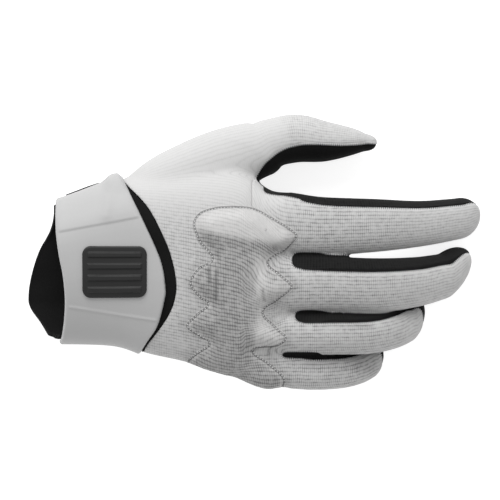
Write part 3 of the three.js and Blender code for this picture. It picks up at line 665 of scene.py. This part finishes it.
# %% Everything stored on the skin
SEAM_ROUNDS = 6
for name in PANELS:
    skin.verts.layers.float.new(name)
skin.verts.layers.float_vector.new("knit")
points = places(skin)
at = look_up(points)
ends = np.array([[v.index for v in e.verts] for e in skin.edges])
knit_layer = skin.verts.layers.float_vector["knit"]
for v, (along, around), opened in zip(skin.verts, weave(points, at), openness(points)):
    v[knit_layer] = (along, around, opened)
whole = skin.copy()
for name, field in PANELS.items():
    store(skin, name, averaged(field(points, at), ends, SEAM_ROUNDS))
print("stored", len(PANELS), "fields for", len(points), "points")


# %% Cutting
LEAST_SHARE = 0.04  # no edge is split nearer to its end than this share of it


def cut_along(bm, name, faces):
    """Splits faces along the line where a stored field changes sign."""
    value = bm.verts.layers.float[name]
    crossing = {}
    for face in faces:
        for line in face.edges:
            a, b = (v[value] for v in line.verts)
            if a * b < 0:
                crossing[line] = min(max(a / (a - b), LEAST_SHARE), 1 - LEAST_SHARE)
    made = bmesh.ops.bisect_edges(bm, edges=list(crossing), cuts=1, edge_percents=crossing)
    new = [g for g in made["geom_split"] if isinstance(g, bmesh.types.BMVert)]
    for v in new:
        v[value] = 0.0
    bmesh.ops.connect_verts(bm, verts=new)
    bm.verts.index_update()


cut = skin.faces.layers.int.new("piece")
for number, name in enumerate(PANELS, start=1):
    free = [f for f in skin.faces if not f[cut]]
    cut_along(skin, name, free)
    value = skin.verts.layers.float[name]
    taken = [f for f in skin.faces if not f[cut] and sum(v[value] for v in f.verts) > 0]
    for face in taken:
        face[cut] = number
    print("cut", name, len(taken), "faces")


# %% Stray faces
def join_strays(bm, piece, rounds=3):
    """A face whose neighbours nearly all belong to another panel goes over to it."""
    for _ in range(rounds):
        moved = 0
        for face in bm.faces:
            beside = [f[piece] for e in face.edges for f in e.link_faces if f is not face]
            most = max(sorted(set(beside)), key=beside.count)
            if most != face[piece] and beside.count(face[piece]) <= 1 and beside.count(most) >= 2:
                face[piece] = most
                moved += 1
        print("moved", moved, "stray faces")


join_strays(skin, cut)

# %% [markdown]
# ## Panels
#
# Each panel is the part of the skin with its number. Cloth between two seams bulges a little and dips at the
# stitching, so a panel is lifted by how far a point is from its own edge. Solidify then gives it a thickness.


# %% Panels from the cut skin
def only(bm, keep):
    """A copy of a bmesh with the faces that are kept."""
    kept = [keep(f) for f in bm.faces]
    part = bm.copy()
    bmesh.ops.delete(part, geom=[f for f, stays in zip(part.faces, kept) if not stays], context="FACES")
    part.verts.index_update()
    return part


def from_edge(bm, points, reach=12.0):
    """Each vertex's distance to the panel's edge, in millimetres."""
    rim = [v for v in bm.verts if v.is_boundary]
    tree = KDTree(len(rim))
    for i, v in enumerate(rim):
        tree.insert(Vector(points[v.index]), i)
    tree.balance()
    return np.array([min(tree.find(Vector(p))[2], reach) for p in points])


def rim_paths(bm):
    """The open edges of a panel as rows of points in order, each with the cloth's normal."""
    seen, paths = set(), []
    for first in bm.edges:
        if not first.is_boundary or first in seen:
            continue
        seen.add(first)
        path = list(first.verts)
        while True:
            step = next((e for e in path[-1].link_edges if e.is_boundary and e not in seen), None)
            if step is None:
                break
            seen.add(step)
            path.append(step.other_vert(path[-1]))
        paths.append([(v.co.copy(), v.normal.copy()) for v in path])
    return paths


def lift(bm, height):
    """Moves each vertex out of the skin by its own height in millimetres."""
    for v in bm.verts:
        v.co += v.normal * float(height[v.index]) * MM


def finish_piece(name, bm, thickness, cloth, nodes):
    """A bmesh becomes a piece of the glove, with its finish, its thickness and the solids it stands for."""
    mesh = bpy.data.meshes.new(name)
    # Only the attribute with dark seam lines and painted shade is kept for the material.
    for layer in list(bm.verts.layers.float.keys()):
        if layer != "seams_and_painted_shade":
            bm.verts.layers.float.remove(bm.verts.layers.float[layer])
    bm.to_mesh(mesh)
    bm.free()
    mesh.shade_smooth()
    obj = scene_object(name, mesh)
    if thickness:
        wall = obj.modifiers.new("cloth", "SOLIDIFY")
        wall.thickness, wall.offset = thickness * MM, -1
    mesh.materials.append(cloth)
    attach(obj, "root")
    if nodes:
        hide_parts(*nodes)
    print(name, len(mesh.polygons), "faces")
    return obj


# %% [markdown]
# ## Cloth finishes
#
# The knit is light grey ribs that run along the fingers, crossed by rows of small loops. Both read the
# attribute that the panels carry, so the ribs bend with the finger. The other cloths need only a fine grain.


# %% Material helpers
def material(name, roughness, sheen=0.0, sheen_roughness=0.5, specular=0.5):
    made = bpy.data.materials.new(name)
    made.use_nodes = True
    shader = made.node_tree.nodes["Principled BSDF"]
    shader.inputs["Roughness"].default_value = roughness
    shader.inputs["Sheen Weight"].default_value = sheen
    shader.inputs["Sheen Roughness"].default_value = sheen_roughness
    shader.inputs["Specular IOR Level"].default_value = specular
    return made, made.node_tree, shader


def node(tree, kind, inputs=None, **settings):
    made = tree.nodes.new("ShaderNode" + kind)
    for key, value in settings.items():
        setattr(made, key, value)
    for key, value in (inputs or {}).items():
        if isinstance(value, bpy.types.NodeSocket):
            tree.links.new(value, made.inputs[key])
        else:
            made.inputs[key].default_value = value
    return made


def maths(tree, operation, *values):
    return node(tree, "Math", dict(enumerate(values)), operation=operation).outputs[0]


def mixed(tree, share, low, high):
    made = node(tree, "Mix", data_type="RGBA")
    for socket, value in zip((made.inputs[0], made.inputs[6], made.inputs[7]), (share, low, high)):
        if isinstance(value, bpy.types.NodeSocket):
            tree.links.new(value, socket)
        else:
            socket.default_value = value
    return made.outputs[2]


def bump(tree, shader, height, distance, strength=1.0):
    made = node(tree, "Bump", {"Height": height, "Distance": distance, "Strength": strength})
    tree.links.new(made.outputs["Normal"], shader.inputs["Normal"])


def grey(value, warm=0.0):
    return (value * (1 + warm), value, value * (1 - warm), 1)


# %% Knit
def knit(name, light, dark, rib=1.75, loop=0.82, sheen=0.1, specular=0.15, relief=0.00022):
    """Broad flat ribs with thin dark lines between, crossed by fine rows where the cloth is pulled open,
    darkened further by a stored attribute of dark seam lines and painted shade.
    """
    made, tree, shader = material(name, 0.9, sheen=sheen, specular=specular)
    place = node(tree, "Attribute", attribute_name="knit")
    along, around, opened = node(tree, "SeparateXYZ", {0: place.outputs["Vector"]}).outputs
    wander = node(tree, "TexNoise", {"Vector": place.outputs["Vector"], "Scale": 0.25, "Detail": 2.0})
    around = maths(tree, "ADD", around, maths(tree, "MULTIPLY", wander.outputs["Fac"], 0.7))
    ribs = maths(tree, "ABSOLUTE", maths(tree, "SINE", maths(tree, "MULTIPLY", around, math.pi / rib)))
    rows = maths(tree, "ABSOLUTE", maths(tree, "SINE", maths(tree, "MULTIPLY", along, math.pi / loop)))
    ribs = maths(tree, "SUBTRACT", 1.0, maths(tree, "POWER", ribs, 0.3))
    rows = maths(tree, "SUBTRACT", 1.0, maths(tree, "POWER", rows, 0.5))
    patchy = node(tree, "TexNoise", {"Vector": place.outputs["Vector"], "Scale": 0.45, "Detail": 5.0})
    patchy = node(tree, "MapRange", {0: patchy.outputs["Fac"], 1: 0.32, 2: 0.68, 3: 0.3, 4: 1.3}).outputs[0]
    strength = maths(tree, "MULTIPLY", patchy, opened)
    darkness = maths(tree, "ADD", maths(tree, "MULTIPLY", ribs, maths(tree, "ADD", strength, 0.13)),
                 maths(tree, "MULTIPLY", rows, maths(tree, "MULTIPLY", strength, 0.9)))
    # The stored attribute adds dark seam lines, and painted shade in hollows, in folds and below the pad's
    # ridge.
    seams_and_painted_shade = node(tree, "Attribute", attribute_name="seams_and_painted_shade").outputs["Fac"]
    darkness = node(tree, "Clamp", {0: maths(tree, "ADD", darkness, maths(tree, "MULTIPLY", seams_and_painted_shade, 0.9))}).outputs[0]
    fuzz = node(tree, "TexNoise", {"Vector": place.outputs["Vector"], "Scale": 2.6, "Detail": 3.0})
    fuzz = maths(tree, "SUBTRACT", fuzz.outputs["Fac"], 0.5)
    tone = maths(tree, "ADD", darkness, maths(tree, "MULTIPLY", fuzz, 0.22))
    tree.links.new(mixed(tree, tone, light, dark), shader.inputs["Base Color"])
    bump(tree, shader, maths(tree, "SUBTRACT", 1.0, darkness), relief, 0.8)
    return made


LIGHT_KNIT = knit("light ribbed knit", grey(0.452, 0.004), grey(0.11))
PAD_KNIT = knit("padded ribbed knit", grey(0.445, 0.008), grey(0.1))


# %% Plain cloths
def fine_cloth(name, colour, roughness, scale, depth, sheen=0.0, specular=0.1, contrast=0.4):
    made, tree, shader = material(name, roughness, sheen=sheen, specular=specular)
    place = node(tree, "TexCoord").outputs["Object"]
    grain = node(tree, "TexNoise", {"Vector": place, "Scale": scale, "Detail": 3.0}).outputs["Fac"]
    cloud = node(tree, "TexNoise", {"Vector": place, "Scale": 45.0, "Detail": 2.0}).outputs["Fac"]
    tone = maths(tree, "ADD", maths(tree, "MULTIPLY", grain, 0.6), maths(tree, "MULTIPLY", cloud, 0.4))
    tone = node(tree, "MapRange", {0: tone, 1: 0.3, 2: 0.7}).outputs[0]
    colours = grey(colour * (1 - contrast)), grey(colour * (1 + contrast))
    tree.links.new(mixed(tree, tone, *colours), shader.inputs["Base Color"])
    bump(tree, shader, grain, depth)
    return made


DULL = 0.06  # how little light black cloth throws back
SIDE_KNIT = knit("black side knit", grey(0.013), grey(0.002), rib=1.1, loop=1.3, sheen=0.02, specular=DULL)
SUEDE = fine_cloth("black suede", 0.006, 0.95, 1400, 0.0002, sheen=0.02, specular=DULL)
FOAM_KNIT = fine_cloth("black foam-backed knit", 0.006, 0.8, 2200, 0.00012, sheen=0.01, specular=DULL)
STRAP_SKIN = fine_cloth("strap skin", 0.345, 0.55, 3000, 0.00003, specular=0.3, contrast=0.04)
RUBBER = fine_cloth("moulded rubber", 0.014, 0.5, 4000, 0.00002, specular=0.25, contrast=0.2)

# %% What each panel is made of
FOAM = 2.0
FINISH = {
    "cuff": (FOAM_KNIT, FOAM),
    "index_side_strip": (SIDE_KNIT, CLOTH),
    "index_middle_gusset": (SIDE_KNIT, CLOTH),
    "middle_ring_gusset": (SIDE_KNIT, CLOTH),
    "ring_little_gusset": (SIDE_KNIT, CLOTH),
    "finger_backs": (LIGHT_KNIT, CLOTH),
    "hand_back": (LIGHT_KNIT, CLOTH),
    "thumb_palm": (SUEDE, CLOTH),
    "palm": (SUEDE, CLOTH),
}
STANDS_FOR = {
    "finger_backs": [finger + "_back" for finger in FINGERS],
    "palm": ["palm"] + [finger + "_front" for finger in FINGERS],
}
ROLL = 0.9  # over this width a panel's edge rolls down into its seam


def relief(name, rim):
    """How high a panel stands over the skin, by the distance to its edge."""
    rolled = smooth_step(rim, 0, ROLL)
    if name in ("finger_backs", "hand_back"):
        return 0.15 + 0.35 * rolled
    if name == "cuff":
        return -0.5 + 0.2 * rolled
    if name.endswith(("gusset", "strip")):
        return -0.15 - 0.35 * smooth_step(rim, 0, 2.0)
    return -0.3 + 0.25 * rolled


# %% The knuckle pad's outline and the painted shade in the hollows beside it
PAD_OUTLINE = closed_curve("along side", [
    (0.593, 0.292), (0.57, 0.235), (0.598, 0.143), (0.648, 0.063), (0.594, 0.02), (0.555, -0.061),
    (0.598, -0.14), (0.63, -0.168), (0.585, -0.214), (0.541, -0.281), (0.602, -0.34), (0.636, -0.368),
    (0.585, -0.41), (0.545, -0.46), (0.55, -0.57), (0.65, -0.68), (0.87, -0.68), (0.965, -0.56),
    (0.9, -0.468), (0.832, -0.402), (0.93, -0.385), (0.973, -0.338), (0.93, -0.285), (0.873, -0.209),
    (0.93, -0.152), (0.997, -0.08), (0.94, -0.01), (0.895, 0.042), (0.96, 0.1), (1.014, 0.172),
    (0.995, 0.212), (0.9, 0.282), (0.82, 0.326), (0.715, 0.333), (0.64, 0.32)])
HOLLOW_WIDTH, HOLLOW_SIDE = 3.2, (4, 16)
# Painted shade on the fingers' sides that lie in a neighbouring finger's shadow: start, end and width.
PAINTED_SHADE_LINES = [((112, -45), (152, -46.5), 3.2), ((118, -24), (150, -26), 2.0)]


def painted_shade(points):
    """Painted shade: darker colour in the hollows beside the pad's lobes and between the fingers."""
    beside = np.maximum(-inside_outline(points, PAD_OUTLINE), 0)
    hollow_shade = np.exp(-((beside / HOLLOW_WIDTH) ** 2)) * (1 - smooth_step(points[:, 1], *HOLLOW_SIDE))
    return 0.2 * hollow_shade + 0.3 * sum(near_line(points, *ends) for ends in PAINTED_SHADE_LINES)


# %% The cloth panels
stitch_paths = []
for number, name in enumerate(PANELS, start=1):
    if name not in FINISH:
        continue
    panel = only(skin, lambda f: f[cut] == number)
    rim = from_edge(panel, places(panel))
    lift(panel, relief(name, rim))
    for v in panel.verts:
        v.co.z = max(v.co.z, 0.0)
    if name in ("finger_backs", "hand_back"):
        stitch_paths += rim_paths(panel)
        # The back panels carry painted shade in the hollows beside the pad and between the fingers.
        panel.verts.layers.float.new("seams_and_painted_shade")
        store(panel, "seams_and_painted_shade", painted_shade(places(panel)))
    cloth, thickness = FINISH[name]
    finish_piece(name + "_cloth", panel, thickness, cloth, STANDS_FOR.get(name, [name]))
skin.free()

# %% [markdown]
# ## Pad, strap and patch
#
# These lie on the skin. Each is a copy of the skin inside an outline seen from above, split finer, cut to its
# outline and lifted by its own profile. Made this way they follow every curve of the hand without a gap.


# %% Pieces copied from the whole skin
def patch_of_skin(field, finer, margin=2.5):
    """The part of the whole skin where a field is positive, with its edge cut clean."""
    values = field(places(whole))
    part = only(whole, lambda f: max(values[v.index] for v in f.verts) > -margin)
    part.verts.layers.float.new("outline")
    for _ in range(finer):
        bmesh.ops.subdivide_edges(part, edges=part.edges, cuts=1, use_grid_fill=True)
    part.verts.index_update()
    store(part, "outline", field(places(part)))
    cut_along(part, "outline", list(part.faces))
    value = part.verts.layers.float["outline"]
    outside = [f for f in part.faces if sum(v[value] for v in f.verts) <= 0]
    bmesh.ops.delete(part, geom=outside, context="FACES")
    part.verts.index_update()
    part.normal_update()
    return part


# %% The knuckle pad's field
STITCH_INSET, STITCH_GROOVE, PAD_FLOOR = 1.0, 0.45, 20.0
PAD_FOLDS = [((73.4, 6.7), (73.4, -5.3)), ((76.8, 0.5), (76.8, -13.4)), ((99.4, -8.6), (99.4, -13.4))]
PAD_LOBES = [((102, 17), (109, 15.5)), ((103, -9), (109, -8)), ((101, -32), (107, -33))]
PAD_COLUMN = (98.4, 5), (98.4, -34)
FOLD_WIDTH, LOBE_WIDTH, COLUMN_WIDTH = 0.8, 4.5, 4.0
RIDGE_START, RIDGE_SIDE, RIDGE_SLOPE = 68.6, 19.6, 0.176


def pad_field(points):
    outline = inside_outline(points, PAD_OUTLINE)
    return both(outline, points[:, 2] - PAD_FLOOR, blend=0.8)


# %% Where the pad is raised and sewn
pad = patch_of_skin(pad_field, finer=1)
points = places(pad)
rim = np.maximum(pad_field(points), 0)
above_ridge = points[:, 1] - (RIDGE_SIDE - RIDGE_SLOPE * (points[:, 0] - RIDGE_START))
seam_line = np.exp(-(((rim - STITCH_INSET) / STITCH_GROOVE) ** 2))
folds = sum(near_line(points, *ends, FOLD_WIDTH) for ends in PAD_FOLDS)
column = near_line(points, *PAD_COLUMN, COLUMN_WIDTH)
lobes = sum(near_line(points, *ends, LOBE_WIDTH) for ends in PAD_LOBES)
raised = np.minimum(column + lobes, 1)
below_ridge = 1 - smooth_step(above_ridge, -2.5, 1.5)
# Painted shade on the pad below its ridge, where the surface turns away from the lamp, less on the raised
# column and lobes.
painted_shade_below_ridge = below_ridge * smooth_step(rim, 1.2, 3.5) * (1 - raised)

# %% The knuckle pad
CROWN, RIDGE, PADDED_FROM, SOFTENING = 2.5, 1.6, 1.2, 60
padding = (CROWN * smooth_step(rim, PADDED_FROM, 8.0)
           + RIDGE * smooth_step(above_ridge, -7, 0.5) * smooth_step(rim, PADDED_FROM, 7.0)
           + (0.8 * column + 0.7 * lobes) * smooth_step(rim, PADDED_FROM, 4.0))
ends = np.array([[v.index for v in e.verts] for e in pad.edges])
padding = averaged(padding, ends, SOFTENING) * smooth_step(rim, 0, 2.0)
lift(pad, 0.55 + 0.3 * smooth_step(rim, 0, 0.6) - 0.4 * seam_line + padding - 0.4 * folds)
# The pad's attribute: the dark seam line, painted shade in its folds, and painted shade below the ridge.
pad.verts.layers.float.new("seams_and_painted_shade")
store(pad, "seams_and_painted_shade", 0.95 * seam_line + 0.35 * folds + 0.36 * painted_shade_below_ridge)
knit_layer = pad.verts.layers.float_vector["knit"]
# Below the ridge the knit is opened further and looks darker, partly the weave stretched over the foam and
# partly painted shade; the raised column and lobes are kept plainer as painted light.
for v, opened in zip(pad.verts, 0.3 + 0.55 * below_ridge * (1 - 0.6 * raised)):
    v[knit_layer].z = opened
pad.normal_update()
pad_points = [(v.co.z, v.normal.copy()) for v in pad.verts]
pad_from_above = KDTree(len(pad_points))
for i, v in enumerate(pad.verts):
    pad_from_above.insert(Vector((v.co.x, v.co.y, 0)), i)
pad_from_above.balance()
print("pad", round(float(padding.max()), 2), "mm of padding")
finish_piece("knuckle_pad_knit", pad, 0.7, PAD_KNIT, ["knuckle_pad"])


# %% The wrist strap's field
STRAP_FLOOR, STRAP_THICK, STRAP_ROUND = 7.0, 1.9, 1.2


def strap_field(points):
    return both(points[:, 0] - at_side(STRAP_NEAR, points), at_side(STRAP_FAR, points) - points[:, 0],
                points[:, 2] - STRAP_FLOOR, blend=0.6)


def round_edge(rim, thickness, radius):
    """A profile that rises from nothing to the full thickness in a quarter circle."""
    return thickness * np.sqrt(np.clip(1 - (1 - np.clip(rim / radius, 0, 1)) ** 2, 0, 1))


# %% The wrist strap
CREASE_START, CREASE_SIDE, CREASE_SLOPE = 3.7, 18.4, 0.1925
strap = patch_of_skin(strap_field, finer=1)
points = places(strap)
rim = from_edge(strap, points, 30)
above_crease = points[:, 1] - (CREASE_SIDE + CREASE_SLOPE * (points[:, 0] - CREASE_START))
upper_fold = 0.6 * smooth_step(above_crease, -0.6, 0.6) * (1 - smooth_step(above_crease, 2, 20))
lower_fold = 0.35 * near_line(points, (6.7, -16.3), (49, -23), 0.7)
dent = 0.5 * near_line(points, (26.4, 39), (24, 26), 2.5)
raised_corner = 2.1 * smooth_step(points[:, 0], 21, 28) * smooth_step(points[:, 1], 35, 41)
folded = upper_fold + lower_fold + dent + raised_corner
lift(strap, 0.3 + round_edge(rim, STRAP_THICK, STRAP_ROUND) + folded * smooth_step(rim, 0.3, 2.5))
finish_piece("wrist_strap_skin", strap, 1.0, STRAP_SKIN, ["wrist_strap"])

# %% The strap's bound edge
BINDING = [(4.3, 35.95), (9.5, 37.9), (15.0, 40.0), (20.2, 41.7)]
BINDING_WIDE, BINDING_HIGH, BINDING_LEVEL = 1.6, 0.5, 20.0


def band(places, wide, high, level, sides=12):
    """A flat band through places seen from above, at one level."""
    line = through(np.array(places, float), 24)
    turn = np.linspace(0, 2 * math.pi, sides, endpoint=False)
    across, up = np.cos(turn) * wide / 2, np.sin(turn) * high / 2
    points = np.zeros((len(line), sides, 3))
    points[..., 0] = line[:, :1]
    points[..., 1] = line[:, 1:] + across
    points[..., 2] = level + up
    return points


binding = bmesh.new()
tube(binding, (band(BINDING, BINDING_WIDE, BINDING_HIGH, BINDING_LEVEL) + WRIST) * MM)
bmesh.ops.holes_fill(binding, edges=[e for e in binding.edges if e.is_boundary], sides=0)
bmesh.ops.recalc_face_normals(binding, faces=binding.faces)
finish_piece("strap_binding", binding, 0, FOAM_KNIT, [])

# %% The rubber patch's field
PATCH_PLACE, PATCH_LENGTH, PATCH_WIDTH, PATCH_CORNER, PATCH_RIBS = 28.0, 31.0, 24.0, 4.0, 4
PATCH_FLOOR, PATCH_BORDER, RIB_HALF, RIB_HEIGHT = 20.0, 2.5, 1.5, 0.8
PATCH_LIFT, PATCH_THICK, PATCH_ROUND = 2.5, 0.9, 0.8


def patch_field(points):
    x = np.abs(points[:, 0] - PATCH_PLACE) - (PATCH_LENGTH / 2 - PATCH_CORNER)
    y = np.abs(points[:, 1]) - (PATCH_WIDTH / 2 - PATCH_CORNER)
    out = np.hypot(np.maximum(x, 0), np.maximum(y, 0)) + np.minimum(np.maximum(x, y), 0)
    return np.where(points[:, 2] > PATCH_FLOOR, PATCH_CORNER - out, -10)


# %% The rubber patch
patch = patch_of_skin(patch_field, finer=2)
points = places(patch)
rim = from_edge(patch, points, 30)
pitch = (PATCH_WIDTH - PATCH_BORDER) / PATCH_RIBS
phase = np.abs(np.mod(points[:, 1] / pitch + PATCH_RIBS / 2, 1) - 0.5) * pitch
rib = smooth_step(RIB_HALF - phase, 0, 0.7) * smooth_step(rim, 2.0, 3.0)
lift(patch, PATCH_LIFT + round_edge(rim, PATCH_THICK, PATCH_ROUND) + RIB_HEIGHT * rib)
finish_piece("strap_patch_rubber", patch, 0.5, RUBBER, ["strap_patch"])

# %% [markdown]
# ## Stitches
#
# An overlock seam joins the knit to the black side panels: short threads across the edge, a millimetre apart.
# The pad is sewn down with a row of lock stitches. Each thread is one stretched ball with few faces, because
# there are over a thousand of them and each is smaller than a pixel.


# %% Stitch sizes and helpers
OVERLOCK_PITCH, OVERLOCK_LENGTH, OVERLOCK_WIDTH, OVERLOCK_START, OVERLOCK_FLOOR = 1.05, 1.7, 0.62, 62.0, 4.0
LOCK_PITCH, LOCK_LENGTH, LOCK_WIDTH = 1.5, 1.1, 0.5
THREAD = fine_cloth("light thread", 0.55, 0.8, 6000, 0.00002, contrast=0.1)


def resampled(path, pitch):
    """Places a pitch apart along a row of points: where, which way it runs, and the normal there."""
    spots = np.array([[*co, *normal] for co, normal in path])
    run = np.concatenate([[0], np.cumsum(np.linalg.norm(np.diff(spots[:, :3], axis=0), axis=1))])
    at = np.arange(pitch / 2, run[-1], pitch)
    sampled = np.column_stack([np.interp(at, run, column) for column in spots.T])
    ahead = np.column_stack([np.interp(at + pitch * 0.4, run, column) for column in spots[:, :3].T])
    back = np.column_stack([np.interp(at - pitch * 0.4, run, column) for column in spots[:, :3].T])
    return sampled[:, :3], ahead - back, sampled[:, 3:]


def sew(bm, place, thread, normal, length, width):
    """One thread: a ball stretched along the thread, half sunk in the cloth."""
    up = Vector(normal).normalized()
    along = (Vector(thread) - up * up.dot(Vector(thread))).normalized()
    side = up.cross(along)
    frame_axes = Matrix((along * length / 2, side * width / 2, up * width / 2)).transposed().to_4x4()
    bmesh.ops.create_icosphere(bm, subdivisions=1, radius=1, matrix=Matrix.Translation(place) @ frame_axes)


# %% Stitches along the knit's edge
threads = bmesh.new()
for path in stitch_paths:
    for place, run, normal in zip(*resampled(path, OVERLOCK_PITCH * MM)):
        spot = place / MM - WRIST
        on_knuckle_seam = abs(spot[0] - KNUCKLE_SEAM) < 0.8
        if spot[0] < OVERLOCK_START or on_knuckle_seam or spot[2] < OVERLOCK_FLOOR:
            continue
        across = Vector(normal).cross(Vector(run))
        sew(threads, place, across, normal, OVERLOCK_LENGTH * MM, OVERLOCK_WIDTH * MM)
print("overlock threads", len(threads.faces) // 20)
finish_piece("overlock_threads", threads, 0, THREAD, [])

# %% Stitches round the pad
run = np.roll(PAD_OUTLINE, -1, axis=0) - np.roll(PAD_OUTLINE, 1, axis=0)
inner = PAD_OUTLINE + unit(np.column_stack([-run[:, 1], run[:, 0]])) * STITCH_INSET
path = []
for spot in (np.vstack([inner, inner[:1]]) + WRIST[:2]) * MM:
    _, nearest, gap = pad_from_above.find(Vector((*spot, 0)))
    height, normal = pad_points[nearest]
    if gap < MM and normal.z > 0.5:
        path.append((Vector((*spot, height)), normal))
print("pad border", len(path), "of", len(inner), "points")
threads = bmesh.new()
for place, run, normal in zip(*resampled(path, LOCK_PITCH * MM)):
    sew(threads, place, run, normal, LOCK_LENGTH * MM, LOCK_WIDTH * MM)
print("lock stitches", len(threads.faces) // 20)
finish_piece("pad_threads", threads, 0, THREAD, [])

# %% [markdown]
# ## Floor, light and camera
#
# The glove lies on white paper that is bright enough to lose its shadow, as in a catalogue. One large soft
# lamp stands on the thumb's side and the white surroundings fill in the rest. The camera looks straight down
# from far away, so that a pixel is 0.48 mm everywhere at the height of the glove's back.

# %% Floor
bm = bmesh.new()
bmesh.ops.create_grid(bm, x_segments=1, y_segments=1, size=3)
floor_mesh = bpy.data.meshes.new("floor")
bm.to_mesh(floor_mesh)
bm.free()
floor = scene_object("floor", floor_mesh)
paper, _, shader = material("white paper", 0.9)
shader.inputs["Base Color"].default_value = grey(0.5)
shader.inputs["Emission Color"].default_value = grey(1.0)
shader.inputs["Emission Strength"].default_value = 0.8
floor_mesh.materials.append(paper)


# %% Light and camera
def softbox(name, place, size, watts, aim=(0, 0, 0.02)):
    lamp = bpy.data.lights.new(name, "AREA")
    lamp.energy, lamp.shape, lamp.size = watts, "DISK", size
    obj = bpy.data.objects.new(name, lamp)
    obj.location = place
    obj.rotation_euler = (Vector(aim) - Vector(place)).to_track_quat("-Z", "Y").to_euler()
    bpy.context.collection.objects.link(obj)


softbox("thumb side", (-0.35, 1.4, 1.25), size=1.3, watts=34)
world = bpy.data.worlds.new("studio")
world.use_nodes = True
world.node_tree.nodes["Background"].inputs["Color"].default_value = (1, 1, 1, 1)
world.node_tree.nodes["Background"].inputs["Strength"].default_value = 0.8
bpy.context.scene.world = world

PIXEL, WRIST_PIXEL, FRAME_SIZE = 0.48, (57, 271), 500
CAMERA_HEIGHT, SEEN_HEIGHT, SENSOR = 3.6, 0.022, 36
lens = bpy.data.cameras.new("camera")
lens.sensor_width = SENSOR
lens.lens = SENSOR * (CAMERA_HEIGHT - SEEN_HEIGHT) / (FRAME_SIZE * PIXEL * MM)
camera = bpy.data.objects.new("camera", lens)
middle = [(FRAME_SIZE / 2 - WRIST_PIXEL[0]) * PIXEL, (WRIST_PIXEL[1] - FRAME_SIZE / 2) * PIXEL]
camera.location = ((middle[0] + WRIST[0]) * MM, (middle[1] + WRIST[1]) * MM, CAMERA_HEIGHT)
bpy.context.collection.objects.link(camera)
bpy.context.scene.camera = camera
bpy.context.scene.view_settings.view_transform = "Standard"

# %% The copy of the whole skin is freed
whole.free()
